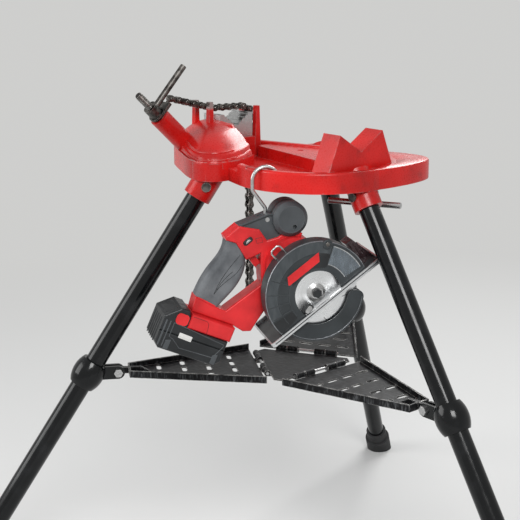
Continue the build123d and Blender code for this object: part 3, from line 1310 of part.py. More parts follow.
# Battery: case, cells, cover with its rail and rear hump, and two latches
battery_rear = BATTERY_PLACE - BATTERY_LENGTH / 2
battery_front = BATTERY_PLACE + BATTERY_LENGTH / 2
hump_front = SEAT_TOP - SEAT_LEAD - GAP
with BuildPart() as battery_case:
    with BuildSketch(battery_side(-BATTERY_HALF)):
        with BuildLine():
            Polyline((battery_rear, -BATTERY_COVER), (battery_rear, BATTERY_CORNER - BATTERY_DEPTH),
                     (battery_rear + BATTERY_CORNER, -BATTERY_DEPTH), (battery_front - BATTERY_CORNER, -BATTERY_DEPTH),
                     (battery_front, BATTERY_CORNER - BATTERY_DEPTH), (battery_front, -BATTERY_COVER), close=True)
        make_face()
    extrude(amount=2 * BATTERY_HALF)
    battery_faces = battery_case.faces().sort_by(arbor_axis)
    fillet(battery_faces[0].edges() + battery_faces[-1].edges(), radius=SHELL_ROUND)
    with BuildSketch(battery_side(BATTERY_WALL - BATTERY_HALF)):
        with Locations((BATTERY_PLACE, -(BATTERY_DEPTH + BATTERY_COVER - BATTERY_WALL) / 2)):
            Rectangle(BATTERY_LENGTH - 2 * BATTERY_WALL, BATTERY_DEPTH - BATTERY_COVER - BATTERY_WALL)
        for end in (-1, 1):
            corner = (BATTERY_PLACE + end * BATTERY_LENGTH / 2, -BATTERY_DEPTH)
            cut = BATTERY_CORNER + BATTERY_WALL
            Polygon(corner, (corner[0] - end * cut, corner[1]), (corner[0], corner[1] + cut), align=None,
                    mode=Mode.SUBTRACT)
    extrude(amount=2 * (BATTERY_HALF - BATTERY_WALL), mode=Mode.SUBTRACT)
keep(battery_case, "battery_case")

cell_room = BATTERY_LENGTH - 2 * BATTERY_WALL - 2 * (CELL_PITCH - CELL_DIA)
cell_count = int(cell_room // CELL_PITCH)
with BuildPart() as battery_cells:
    with BuildSketch(battery_side(-CELL_LENGTH / 2)):
        with Locations((BATTERY_PLACE, BATTERY_WALL + 2 * FIT + CELL_DIA / 2 - BATTERY_DEPTH)):
            with GridLocations(CELL_PITCH, 1, cell_count, 1):
                Circle(CELL_DIA / 2)
    extrude(amount=CELL_LENGTH)
keep(battery_cells, "battery_cells")

with BuildPart() as battery_cover:
    with BuildSketch(battery_side(-BATTERY_HALF)):
        with Locations((BATTERY_PLACE, -(BATTERY_COVER + GAP) / 2)):
            Rectangle(BATTERY_LENGTH, BATTERY_COVER - GAP)
        Polygon((battery_rear, -GAP), (battery_rear, HUMP_REAR), (battery_rear + HUMP_SLOPE, HUMP_RISE),
                (hump_front - HUMP_LEAN, HUMP_RISE), (hump_front, HUMP_FRONT), (hump_front, -GAP), align=None)
    extrude(amount=2 * BATTERY_HALF)
    cover_faces = battery_cover.faces().sort_by(arbor_axis)
    fillet(cover_faces[0].edges() + cover_faces[-1].edges(), radius=SHELL_ROUND)
    with BuildSketch(battery_side(-RAIL_HALF)):
        rail_end = battery_front - RAIL_INSET
        with Locations(((SEAT_TOP + rail_end) / 2, (RAIL_DEEP - GAP) / 2)):
            Rectangle(rail_end - SEAT_TOP, RAIL_DEEP + GAP)
    extrude(amount=2 * RAIL_HALF)
    for hand in (-1, 1):
        with BuildSketch(battery_side(hand * BATTERY_HALF)):
            with Locations((LATCH_PLACE, LATCH_EDGE + LATCH_WIDE / 2)):
                RectangleRounded(LATCH_LENGTH + 2 * GAP, LATCH_WIDE + 2 * GAP, LATCH_CORNER + GAP)
        extrude(amount=-hand * (LATCH_DEEP + LATCH_TRAVEL + GAP), mode=Mode.SUBTRACT)
keep(battery_cover, "battery_cover")

for side_name, hand in (("near", 1), ("far", -1)):
    with BuildPart() as latch:
        with BuildSketch(battery_side(hand * (BATTERY_HALF - LATCH_DEEP))):
            with Locations((LATCH_PLACE, LATCH_EDGE + LATCH_WIDE / 2)):
                RectangleRounded(LATCH_LENGTH, LATCH_WIDE, LATCH_CORNER)
        extrude(amount=hand * (LATCH_DEEP + LATCH_PROUD))
    keep(latch, f"battery_latch_{side_name}")


def told(name, point):
    """Print a pivot in metres for the record."""
    print("pivot", name, round(point.X / 1000, 6), round(point.Y / 1000, 6), round(point.Z / 1000, 6))


told("near", near * 1000)
told("forward", forward * 1000)
told("upward", upward * 1000)
told("slide_way", slide_way * 1000)
told("arm_axis", arm_axis * 1000)
told("arm_tip", arm_tip)
told("tail_pivot", stand(CHAIN_X, tail_pivot[0], tail_pivot[1]))
told("tray", stand(0, 0, -TRAY_DROP))
for side_name, azimuth in LEG_AZIMUTHS.items():
    told(f"wing_{side_name}", stand(0, 0, -TRAY_DROP) + outward(azimuth) * hinge_radius)
told("wing_reach", Vector(wing_reach, degrees(wing_angle), 0))
told("hook_centre", hook_centre)
told("eye", eye_centre)
told("arbor", saw(0, 0, BLADE_N))
told("motor", saw(MOTOR_F, MOTOR_U, STATOR_NEAR))
told("trigger", saw(TRIGGER_F, TRIGGER_LOW))
told("lock", saw(LOCK_F, LOCK_U, SHELL_HALF))
told("battery", saw(FACE_F, FACE_U))
told("axis", stand(0, 0, 0))
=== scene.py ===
import json
import math

import bmesh
import bpy
from mathutils import Matrix, Vector
from mathutils.geometry import interpolate_bezier, intersect_line_sphere_2d


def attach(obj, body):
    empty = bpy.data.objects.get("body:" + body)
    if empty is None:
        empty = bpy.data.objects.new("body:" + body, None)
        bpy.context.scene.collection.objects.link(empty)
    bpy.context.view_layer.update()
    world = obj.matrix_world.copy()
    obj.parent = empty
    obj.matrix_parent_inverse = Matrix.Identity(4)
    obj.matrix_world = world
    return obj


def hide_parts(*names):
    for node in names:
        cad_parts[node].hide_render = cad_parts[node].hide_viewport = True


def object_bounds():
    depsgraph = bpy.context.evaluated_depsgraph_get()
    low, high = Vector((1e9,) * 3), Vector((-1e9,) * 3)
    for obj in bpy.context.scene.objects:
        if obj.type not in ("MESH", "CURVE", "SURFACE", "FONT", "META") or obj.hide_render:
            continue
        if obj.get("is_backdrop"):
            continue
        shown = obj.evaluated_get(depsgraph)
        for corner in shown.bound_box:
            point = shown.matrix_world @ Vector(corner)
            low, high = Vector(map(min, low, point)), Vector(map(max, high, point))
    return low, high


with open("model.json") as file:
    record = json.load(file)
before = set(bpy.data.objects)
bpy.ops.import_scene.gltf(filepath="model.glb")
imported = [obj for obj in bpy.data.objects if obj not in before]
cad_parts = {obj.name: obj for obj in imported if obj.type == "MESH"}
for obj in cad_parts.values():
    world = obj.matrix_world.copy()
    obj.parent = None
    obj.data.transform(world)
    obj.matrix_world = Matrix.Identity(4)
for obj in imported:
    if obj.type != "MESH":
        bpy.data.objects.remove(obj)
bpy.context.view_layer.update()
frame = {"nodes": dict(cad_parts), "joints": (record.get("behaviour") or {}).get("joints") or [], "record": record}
nodes = frame["nodes"]
pivots = {joint["name"]: joint for joint in frame["joints"]}
bpy.context.scene.view_settings.view_transform = "Standard"


# Finishes: helpers that wire shader nodes, then one function for each kind of finish
def shade(tree, kind, wires=None, **settings):
    """Add one shader node, with its settings and its inputs."""
    made = tree.nodes.new("ShaderNode" + kind)
    for name, value in settings.items():
        setattr(made, name, value)
    for key, value in (wires or {}).items():
        socket = made.inputs[key]
        if isinstance(value, bpy.types.NodeSocket):
            tree.links.new(value, socket)
        else:
            socket.default_value = value
    return made


def new_finish(name, colour, roughness, metal=0.0):
    """A new material with its plain values set on the shader's own sockets."""
    material = bpy.data.materials.new(name)
    material.use_nodes = True
    shader = material.node_tree.nodes["Principled BSDF"]
    shader.inputs["Base Color"].default_value = (*colour, 1)
    shader.inputs["Roughness"].default_value = roughness
    shader.inputs["Metallic"].default_value = metal
    return material, material.node_tree, shader


def grain(tree, scale, detail=4.0, stretch=(1, 1, 1), turn=(0, 0, 0)):
    """Noise on the piece's own coordinates, drawn out along an axis if asked."""
    place = shade(tree, "TexCoord").outputs["Object"]
    laid = shade(tree, "Mapping", {"Vector": place, "Scale": stretch, "Rotation": turn}).outputs["Vector"]
    return shade(tree, "TexNoise", {"Vector": laid, "Scale": scale, "Detail": detail}).outputs["Fac"]


def spread(tree, value, low, high, out_low=0.0, out_high=1.0):
    """Carry one range of values over to another, held at both ends."""
    wires = {"Value": value, "From Min": low, "From Max": high, "To Min": out_low, "To Max": out_high}
    return shade(tree, "MapRange", wires).outputs["Result"]


def tint(tree, share, first, second):
    """Blend two colours, each a colour or a socket."""
    made = shade(tree, "Mix", {0: share}, data_type="RGBA")
    for key, colour in ((6, first), (7, second)):
        if isinstance(colour, bpy.types.NodeSocket):
            tree.links.new(colour, made.inputs[key])
        else:
            made.inputs[key].default_value = (*colour, 1)
    return made.outputs[2]


def count(tree, operation, first, second=0.0):
    """One step of arithmetic on a value."""
    return shade(tree, "Math", {0: first, 1: second}, operation=operation).outputs[0]


def reckon(tree, operation, first, second=(0, 0, 0)):
    """One step of vector arithmetic, which gives a vector, or a value for a length or a dot product."""
    made = shade(tree, "VectorMath", {0: first, 1: second}, operation=operation)
    return made.outputs["Value" if operation in ("LENGTH", "DOT_PRODUCT") else "Vector"]


def edge_share(tree, radius, low, high):
    """How near a point lies to a sharp edge, from how far the rounded normal leaves the true one."""
    rounded = shade(tree, "Bevel", {"Radius": radius}, samples=4).outputs["Normal"]
    flat = shade(tree, "NewGeometry").outputs["Normal"]
    return spread(tree, reckon(tree, "DOT_PRODUCT", rounded, flat), high, low)


def relief(tree, shader, layers):
    """Stack bump layers of (height, strength, depth) onto the shader's normal."""
    normal = None
    for height, strength, depth in layers:
        wires = {"Height": height, "Strength": strength, "Distance": depth}
        if normal is not None:
            wires["Normal"] = normal
        normal = shade(tree, "Bump", wires).outputs["Normal"]
    tree.links.new(normal, shader.inputs["Normal"])


def join(tree, source, shader, name):
    """Wire a value to one of the shader's inputs."""
    tree.links.new(source, shader.inputs[name])


# Places on the base casting, in metres
PRONG_TIPS = (0.818, 0.823)
PAST_ARM = (-0.075, -0.07)
FLAKED_CENTRE = (-0.083, 0.03, 0.749)
FLAKED_REACH = (0.055, 0.03)


def enamelled_casting():
    """Red gloss enamel over a sand casting, worn on edges and chain prongs and flaked in one patch."""
    material, tree, shader = new_finish("red_enamel", (0.55, 0.014, 0.012), 0.3)
    shader.inputs["Coat Weight"].default_value = 0.1
    shader.inputs["Coat Roughness"].default_value = 0.12
    shader.inputs["Specular IOR Level"].default_value = 0.28
    broad = grain(tree, 9, 5)
    fine = grain(tree, 420, 3)
    sand = grain(tree, 900, 2)
    red = tint(tree, spread(tree, broad, 0.35, 0.65), (0.36, 0.006, 0.005), (0.57, 0.011, 0.009))
    grime = spread(tree, grain(tree, 34, 6), 0.56, 0.74, 0, 0.6)
    dirty = tint(tree, grime, red, (0.2, 0.008, 0.007))
    broken = spread(tree, grain(tree, 130, 5), 0.42, 0.6)
    chips = count(tree, "MULTIPLY", edge_share(tree, 0.0022, 0.8, 0.985), broken)
    place = shade(tree, "TexCoord").outputs["Object"]
    at = shade(tree, "SeparateXYZ", {0: place}).outputs
    tips = count(tree, "MULTIPLY", spread(tree, at["Z"], *PRONG_TIPS), spread(tree, at["Y"], *PAST_ARM))
    bare = count(tree, "MAXIMUM", count(tree, "MULTIPLY", chips, 0.55), tips)
    from_patch = reckon(tree, "LENGTH", reckon(tree, "SUBTRACT", place, FLAKED_CENTRE))
    flakes = spread(tree, grain(tree, 190, 4), 0.48, 0.56)
    flaked = count(tree, "MULTIPLY", spread(tree, from_patch, *FLAKED_REACH), flakes)
    scarred = tint(tree, flaked, dirty, (0.66, 0.09, 0.08))
    join(tree, tint(tree, bare, scarred, (0.42, 0.36, 0.35)), shader, "Base Color")
    join(tree, bare, shader, "Metallic")
    join(tree, spread(tree, fine, 0.3, 0.7, 0.2, 0.42), shader, "Roughness")
    relief(tree, shader, [(broad, 0.25, 0.002), (sand, 0.16, 0.0006), (flaked, 0.8, 0.002)])
    return material


def gloss_tube():
    """Black gloss enamel on drawn tube, with dust and rub marks."""
    material, tree, shader = new_finish("black_tube_enamel", (0.004, 0.0045, 0.005), 0.18)
    shader.inputs["Coat Weight"].default_value = 0.15
    shader.inputs["Coat Roughness"].default_value = 0.05
    shader.inputs["Specular IOR Level"].default_value = 0.22
    dust = spread(tree, grain(tree, 22, 6), 0.5, 0.75, 0, 0.5)
    join(tree, tint(tree, dust, (0.003, 0.0035, 0.004), (0.02, 0.021, 0.023)), shader, "Base Color")
    join(tree, spread(tree, grain(tree, 55, 5), 0.3, 0.7, 0.1, 0.26), shader, "Roughness")
    relief(tree, shader, [(grain(tree, 60, 4), 0.1, 0.0008), (grain(tree, 700, 2), 0.04, 0.0004)])
    return material


def scuffed_sheet():
    """Black paint on tray sheet, scuffed grey and worn to steel at the rims."""
    material, tree, shader = new_finish("scuffed_tray_paint", (0.012, 0.012, 0.013), 0.45)
    shader.inputs["Specular IOR Level"].default_value = 0.13
    scratches = spread(tree, grain(tree, 60, 6, (1, 9, 1), (0, 0, 0.6)), 0.55, 0.72)
    cross = spread(tree, grain(tree, 52, 6, (8, 1, 1), (0, 0, -0.3)), 0.56, 0.74)
    scuff = count(tree, "MAXIMUM", scratches, cross)
    dust = spread(tree, grain(tree, 16, 5), 0.4, 0.7)
    paint = tint(tree, dust, (0.003, 0.003, 0.0035), (0.012, 0.012, 0.013))
    marked = tint(tree, count(tree, "MULTIPLY", scuff, 0.6), paint, (0.13, 0.135, 0.14))
    broken = spread(tree, grain(tree, 70, 4), 0.35, 0.55)
    worn = count(tree, "MULTIPLY", edge_share(tree, 0.0018, 0.8, 0.98), broken)
    join(tree, tint(tree, worn, marked, (0.55, 0.54, 0.52)), shader, "Base Color")
    join(tree, worn, shader, "Metallic")
    join(tree, spread(tree, scuff, 0, 1, 0.36, 0.6), shader, "Roughness")
    relief(tree, shader, [(grain(tree, 120, 5), 0.3, 0.0014), (grain(tree, 400, 3), 0.14, 0.0005)])
    return material


def oily_steel():
    """Dark oiled chain and screw steel with bright rubbed edges."""
    material, tree, shader = new_finish("oily_chain_steel", (0.1, 0.095, 0.09), 0.35, 1.0)
    patch = grain(tree, 90, 5)
    dark = tint(tree, spread(tree, patch, 0.38, 0.66), (0.035, 0.032, 0.03), (0.16, 0.15, 0.14))
    rubbed = edge_share(tree, 0.0008, 0.8, 0.98)
    join(tree, tint(tree, rubbed, dark, (0.55, 0.53, 0.5)), shader, "Base Color")
    join(tree, spread(tree, patch, 0.3, 0.7, 0.22, 0.5), shader, "Roughness")
    relief(tree, shader, [(grain(tree, 600, 3), 0.15, 0.0003)])
    return material


def bright_steel(name, colour, stretch, scale=240):
    """Bare steel with fine drawn lines along one axis."""
    material, tree, shader = new_finish(name, colour, 0.28, 1.0)
    lines = grain(tree, scale, 4, stretch)
    pale = tuple(min(1.0, c * 1.18) for c in colour)
    dark = tuple(c * 0.72 for c in colour)
    join(tree, tint(tree, spread(tree, lines, 0.3, 0.7), dark, pale), shader, "Base Color")
    join(tree, spread(tree, grain(tree, 40, 5), 0.3, 0.7, 0.2, 0.42), shader, "Roughness")
    relief(tree, shader, [(lines, 0.1, 0.0003)])
    return material


def moulded(name, colour, roughness, texture=900, wear=0.1, coat=0.0, gloss=0.4):
    """Moulded plastic with a fine spark grain, rubbed a little at its edges."""
    material, tree, shader = new_finish(name, colour, roughness)
    shader.inputs["Coat Weight"].default_value = coat
    shader.inputs["Coat Roughness"].default_value = 0.2
    shader.inputs["Specular IOR Level"].default_value = gloss
    cloud = spread(tree, grain(tree, 26, 5), 0.35, 0.68)
    deep = tuple(c * 0.78 for c in colour)
    pale = tuple(min(1.0, c * 1.12 + 0.004) for c in colour)
    body = tint(tree, cloud, deep, pale)
    rubbed = count(tree, "MULTIPLY", edge_share(tree, 0.0015, 0.8, 0.98), wear * 4)
    lifted = tuple(min(1.0, c * 1.5 + 0.05) for c in colour)
    join(tree, tint(tree, rubbed, body, lifted), shader, "Base Color")
    handled = spread(tree, grain(tree, 60, 4), 0.3, 0.7, roughness - 0.06, roughness + 0.12)
    join(tree, handled, shader, "Roughness")
    relief(tree, shader, [(grain(tree, texture, 2), 0.2, 0.0003), (grain(tree, 30, 3), 0.05, 0.001)])
    return material


def overmould():
    """Soft grey grip rubber with a pebbled surface."""
    material, tree, shader = new_finish("grip_overmould", (0.11, 0.115, 0.123), 0.6)
    shader.inputs["Specular IOR Level"].default_value = 0.35
    place = shade(tree, "TexCoord").outputs["Object"]
    wires = {"Vector": place, "Scale": 620.0}
    pebble = shade(tree, "TexVoronoi", wires, feature="SMOOTH_F1").outputs["Distance"]
    cloud = spread(tree, grain(tree, 24, 5), 0.35, 0.68)
    join(tree, tint(tree, cloud, (0.062, 0.067, 0.074), (0.15, 0.157, 0.166)), shader, "Base Color")
    join(tree, spread(tree, grain(tree, 50, 4), 0.3, 0.7, 0.5, 0.7), shader, "Roughness")
    relief(tree, shader, [(pebble, 0.25, 0.0005)])
    return material


def clear_sheet(name, colour, roughness, weight):
    """Clear or smoked plastic with handling haze."""
    material, tree, shader = new_finish(name, colour, roughness)
    shader.inputs["Transmission Weight"].default_value = weight
    shader.inputs["IOR"].default_value = 1.49
    haze = spread(tree, grain(tree, 45, 6, (1, 4, 1), (0, 0, 0.5)), 0.4, 0.72)
    pale = tuple(min(1.0, c * 1.35 + 0.012) for c in colour)
    join(tree, tint(tree, haze, colour, pale), shader, "Base Color")
    join(tree, spread(tree, haze, 0, 1, roughness, roughness + 0.25), shader, "Roughness")
    relief(tree, shader, [(grain(tree, 130, 3), 0.06, 0.0005)])
    return material


finishes = {
    "red_paint": enamelled_casting(),
    "black_paint": gloss_tube(),
    "scuffed_black": scuffed_sheet(),
    "oiled_steel": oily_steel(),
    "steel": bright_steel("bright_steel", (0.5, 0.5, 0.5), (1, 1, 8)),
    "foot_rubber": moulded("foot_rubber", (0.02, 0.02, 0.021), 0.7, 500),
    "red_plastic": moulded("red_moulding", (0.6, 0.017, 0.02), 0.36, 900, 0.06, 0.08, 0.3),
    "grey_rubber": overmould(),
    "grey_plastic": moulded("grey_moulding", (0.052, 0.058, 0.063), 0.42),
    "black_plastic": moulded("black_moulding", (0.009, 0.0105, 0.012), 0.38),
    "charcoal_alloy": moulded("charcoal_casting", (0.026, 0.031, 0.034), 0.42, 700, 0.12),
    "bright_alloy": bright_steel("polished_plate", (0.62, 0.63, 0.64), (9, 1, 1)),
    "clear": clear_sheet("clear_window", (0.2, 0.235, 0.265), 0.1, 0.6),
    "smoke_red": clear_sheet("smoked_red", (0.05, 0.026, 0.03), 0.15, 0.5),
    "cell_can": bright_steel("cell_can", (0.3, 0.3, 0.32), (1, 1, 1)),
    "red_alloy": moulded("red_die_casting", (0.58, 0.015, 0.018), 0.32, 700, 0.08, 0.1, 0.3),
}
smoke_band = clear_sheet("smoked_guard_band", (0.04, 0.048, 0.053), 0.28, 0.2)
worn_rim = bright_steel("worn_guard_rim", (0.3, 0.31, 0.33), (1, 1, 1))
# Near-black moulding for trim, seams, vents and the blade bolt, also laid as painted shadow on the guard's rear
black_trim_and_painted_shadow = moulded("dark_trim_and_painted_shadow", (0.012, 0.0135, 0.015), 0.42, 800, 0.04)
deep_red = moulded("deep_red_seam", (0.11, 0.008, 0.01), 0.5, 800, 0.02)
bare_plate = moulded("bare_label_plate", (0.62, 0.61, 0.59), 0.4, 500, 0.05)
slots = {row["node"]: row["material_slot"] for row in frame["record"]["subparts"]}


# Frames in millimetres for the new pieces: origins are in metres, the battery's seat in the saw's frame
MILLIMETRE = 0.001
STAND_ORIGIN = Vector((-0.15349, 0, 0.72))
CHAIN_ASIDE = -0.183
BLADE_OUT = 0.045
BATTERY_SEAT = Vector((-180.5, 63.5, 0))
X_WAY = Vector((1, 0, 0))
Y_WAY = Vector((0, 1, 0))
Z_WAY = Vector((0, 0, 1))


def placed(origin, along, across, outward):
    """A frame in millimetres from an origin and three unit vectors."""
    made = (Matrix((along, across, outward)).transposed() * MILLIMETRE).to_4x4()
    made.translation = origin
    return made


near = Vector(pivots["blade_spin"]["axis"]).normalized()
upward = Vector(pivots["trigger_pull"]["axis"]).normalized()
forward = upward.cross(near)
arbor = Vector(pivots["blade_spin"]["pos_m"]) - near * BLADE_OUT
slide_way = -Vector(pivots["battery_slide"]["axis"]).normalized()
screw_axis = Vector(pivots["nut_turn"]["axis"]).normalized()
saw_frame = placed(arbor, forward, upward, near)
battery_frame = placed(saw_frame @ BATTERY_SEAT, slide_way, near.cross(slide_way), near)
stand_frame = placed(STAND_ORIGIN, X_WAY, Y_WAY, Z_WAY)
chain_frame = placed(STAND_ORIGIN + X_WAY * CHAIN_ASIDE, Y_WAY, Z_WAY, X_WAY)
screw_frame = placed(Vector(pivots["nut_turn"]["pos_m"]), X_WAY, screw_axis.cross(X_WAY), screw_axis)

# Finishes that follow the saw's own axes
# Height band of the shoe's inner face under the arbor, in metres, where the shade is painted
SHOE_FLOOR = (-0.0165, -0.0175)


def ground_blade():
    """Saw blade ground round its arbor, so that its gloss draws out into rays."""
    material, tree, shader = new_finish("ground_blade", (0.72, 0.73, 0.74), 0.26, 1.0)
    shader.inputs["Anisotropic"].default_value = 0.75
    place = shade(tree, "TexCoord").outputs["Object"]
    round_way = reckon(tree, "CROSS_PRODUCT", near, reckon(tree, "SUBTRACT", place, arbor))
    join(tree, reckon(tree, "NORMALIZE", round_way), shader, "Tangent")
    wires = {"W": reckon(tree, "LENGTH", round_way), "Scale": 1400.0, "Detail": 3.0}
    rings = shade(tree, "TexNoise", wires, noise_dimensions="1D").outputs["Fac"]
    steel = tint(tree, spread(tree, rings, 0.3, 0.7), (0.74, 0.75, 0.76), (0.92, 0.93, 0.94))
    join(tree, steel, shader, "Base Color")
    join(tree, spread(tree, grain(tree, 40, 5), 0.3, 0.7, 0.22, 0.36), shader, "Roughness")
    relief(tree, shader, [(rings, 0.06, 0.0002)])
    return material


def shoe_with_painted_shade():
    """Bright shoe plate whose inner upper face is darkened by painted shade."""
    material, tree, shader = new_finish("shoe_plate_with_painted_shade", (0.7, 0.71, 0.72), 0.24, 1.0)
    place = shade(tree, "TexCoord").outputs["Object"]
    rise = reckon(tree, "DOT_PRODUCT", reckon(tree, "SUBTRACT", place, arbor), upward)
    level = reckon(tree, "DOT_PRODUCT", shade(tree, "NewGeometry").outputs["Normal"], upward)
    # Painted shade: the shoe's upward inner faces in that band are coloured near black and made non-metallic,
    # standing in for their shadow
    painted_shade_share = count(tree, "MULTIPLY", spread(tree, level, 0.8, 0.9), spread(tree, rise, *SHOE_FLOOR))
    lines = grain(tree, 200, 4, (1, 1, 7))
    steel = tint(tree, spread(tree, lines, 0.3, 0.7), (0.56, 0.57, 0.58), (0.82, 0.83, 0.84))
    join(tree, tint(tree, painted_shade_share, steel, (0.02, 0.022, 0.024)), shader, "Base Color")
    join(tree, count(tree, "SUBTRACT", 1.0, painted_shade_share), shader, "Metallic")
    join(tree, spread(tree, grain(tree, 50, 4), 0.3, 0.7, 0.28, 0.42), shader, "Roughness")
    relief(tree, shader, [(lines, 0.04, 0.0002)])
    return material


own_finishes = {"blade": ground_blade(), "shoe": shoe_with_painted_shade(), "blade_bolt": black_trim_and_painted_shadow,
                "leg_pins": finishes["oiled_steel"], "chain_strap": finishes["oiled_steel"],
                "tension_washer": finishes["oiled_steel"]}


def dress(piece, finish):
    """Give a piece one finish in all its slots."""
    piece.data.materials.clear()
    piece.data.materials.append(finish)


for name, piece in nodes.items():
    dress(piece, own_finishes.get(name, finishes[slots[name]]))


# Shaping helpers, all in millimetres
TOUCH = 0.001
SHARP = math.radians(35)


def box(left, low, right, high):
    """The corners of an upright rectangle, in a plan or in a profile."""
    return [(left, low), (right, low), (right, high), (left, high)]


def raised(points, height):
    """Points of a plan, all at one height."""
    return [(x, y, height) for x, y in points]


def turned(angle, axis="Z"):
    """A matrix that turns by an angle in degrees."""
    return Matrix.Rotation(math.radians(angle), 4, axis)


def plate(corners, low, high, edge=0.2, corner=0.0):
    """A flat plate from its corners, with rounded corners and a softened upper edge."""
    bm = bmesh.new()
    base = bm.faces.new([bm.verts.new(point) for point in raised(corners, low)])
    grown = bmesh.ops.extrude_face_region(bm, geom=[base])["geom"]
    lifted = [item for item in grown if isinstance(item, bmesh.types.BMVert)]
    bmesh.ops.translate(bm, verts=lifted, vec=(0, 0, high - low))
    bmesh.ops.recalc_face_normals(bm, faces=bm.faces)
    if corner:
        posts = [e for e in bm.edges if abs(e.verts[0].co.z - e.verts[1].co.z) > TOUCH]
        bmesh.ops.bevel(bm, geom=posts, offset=corner, affect="EDGES", segments=5, profile=0.5, material=-1)
    rim = [e for e in bm.edges if all(abs(v.co.z - high) < TOUCH for v in e.verts)]
    bmesh.ops.bevel(bm, geom=rim, offset=edge, affect="EDGES", segments=2, profile=0.5, material=-1)
    return bm


def bead(points, radius, sides=8):
    """A round bead along a path of points, closed at its ends."""
    bm = bmesh.new()
    path = [Vector(point) for point in points]
    rings = []
    for number, point in enumerate(path):
        ahead = path[min(number + 1, len(path) - 1)] - path[max(number - 1, 0)]
        turn = ahead.to_track_quat("Z", "Y").to_matrix().to_4x4()
        is_end = number in (0, len(path) - 1)
        made = bmesh.ops.create_circle(bm, cap_ends=is_end, segments=sides, radius=radius,
                                       matrix=Matrix.Translation(point) @ turn)
        rings.append(list(dict.fromkeys(edge for vert in made["verts"] for edge in vert.link_edges)))
    for first, second in zip(rings, rings[1:]):
        bmesh.ops.bridge_loops(bm, edges=first + second)
    return bm


def band(profile, start=0.0, end=360.0, steps=72, centre=(0, 0), climb=0.0):
    """A profile of (radius, height) corners turned about an upright axis, climbing if asked.

    A profile that starts and ends on the axis makes a solid; any other is closed into a ring.
    """
    bm = bmesh.new()
    first = math.radians(start)
    corners = [bm.verts.new((centre[0] + r * math.cos(first), centre[1] + r * math.sin(first), z))
               for r, z in profile]
    on_axis = profile[0][0] == 0
    followers = corners[1:] if on_axis else corners[1:] + corners[:1]
    edges = [bm.edges.new((a, b)) for a, b in zip(corners, followers)]
    whole = abs(end - start - 360) < TOUCH and not climb
    bmesh.ops.spin(bm, geom=corners + edges, cent=(*centre, 0), axis=(0, 0, 1), dvec=(0, 0, climb / steps),
                   angle=math.radians(end - start), steps=steps, use_merge=whole)
    bmesh.ops.remove_doubles(bm, verts=bm.verts, dist=TOUCH / 2)
    bmesh.ops.holes_fill(bm, edges=[e for e in bm.edges if e.is_boundary], sides=0)
    return bm


def rounded_bar(length, wide, low, high, place):
    """A bar with round ends, laid by a matrix."""
    bm = plate(box(-length / 2, -wide / 2, length / 2, wide / 2), low, high, 0.12, wide * 0.45)
    bm.transform(place)
    return bm


def gathered(parts):
    """Several meshes as one."""
    whole = bmesh.new()
    for part in parts:
        holder = bpy.data.meshes.new("holder")
        part.to_mesh(holder)
        part.free()
        whole.from_mesh(holder)
        bpy.data.meshes.remove(holder)
    return whole


def both_sides(part):
    """A mesh with its mirror image across the middle plane of its frame."""
    twin = part.copy()
    twin.transform(Matrix.Scale(-1, 4, (0, 0, 1)))
    bmesh.ops.reverse_faces(twin, faces=twin.faces)
    return gathered([part, twin])


def add_piece(name, bm, place, body, slot, finish=None):
    """Finish a mesh: set it in its frame, smooth its round faces, dress it and let it ride its body."""
    bm.transform(place)
    bm.normal_update()
    bmesh.ops.recalc_face_normals(bm, faces=bm.faces)
    for face in bm.faces:
        face.smooth = True
    for edge in bm.edges:
        edge.smooth = edge.calc_face_angle(0) < SHARP
    mesh = bpy.data.meshes.new(name)
    bm.to_mesh(mesh)
    bm.free()
    piece = bpy.data.objects.new(name, mesh)
    bpy.context.scene.collection.objects.link(piece)
    dress(piece, finish or finishes[slot])
    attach(piece, body)
    return piece


def polar(radius, angle):
    """A point about the arbor from a radius and an angle in degrees from forward."""
    return (radius * math.cos(math.radians(angle)), radius * math.sin(math.radians(angle)))


def ray(radius, angle):
    """A matrix that lays a bar along a ray from the arbor."""
    return Matrix.Translation((*polar(radius, angle), 0)) @ turned(angle)


# Upper guard: smoked outer band, rolled edge, badge panel, ribs, bolt, window trim and a painted shadow panel at
# the rear
GUARD_FACE = 58.9
WINDOW_FACE = 57.9
GUARD_RIM = 84.0
RIB_TURN = (118, 186)
WINDOW_TURN = (-5.5, 35.5)
BOLT_PLACE = (58.5, 56)
outer_band = band(box(66.5, GUARD_FACE, GUARD_RIM, GUARD_FACE + 0.6), 38, 172)
add_piece("guard_outer_band", outer_band, saw_frame, "saw", "charcoal_alloy", smoke_band)
rolled_edge = band([(84.3, 58.0), (85.4, 57.6), (85.7, 58.4), (85.0, 59.2), (84.3, 59.0)], -8, 192)
add_piece("guard_rolled_edge", rolled_edge, saw_frame, "saw", "charcoal_alloy", worn_rim)
panel_corners = [(-29, 54), (-23, 37), (-12, 39), (2, 41.5), (20, 38), (35, 27), (52, 39), (48, 47),
                 (31, 56), (4, 61), (-16, 59.5)]
badge_panel = plate(panel_corners, GUARD_FACE, GUARD_FACE + 0.5, 0.2, 1.2)
add_piece("badge_panel", badge_panel, saw_frame, "saw", "charcoal_alloy", black_trim_and_painted_shadow)
rib_parts = [rounded_bar(34, 1.7, 58.8, 59.9, ray(65, angle)) for angle in (124, 141, 156, 171)]
rib_parts += [band([(47, 58.8), (48.8, 58.8), (48.5, 59.8), (47.3, 59.8)], *RIB_TURN, 40)]
rib_parts += [band([(64.6, 58.8), (66.2, 58.8), (65.9, 59.9), (64.9, 59.9)], *RIB_TURN, 40)]
add_piece("guard_ribs", gathered(rib_parts), saw_frame, "saw", "charcoal_alloy")
boss_profile = [(0, 56.5), (8, 56.5), (8, 60.6), (7, 61.6), (4.4, 61.6), (4.4, 60.2), (0, 60.2)]
bolt_boss = band(boss_profile, centre=BOLT_PLACE, steps=40)
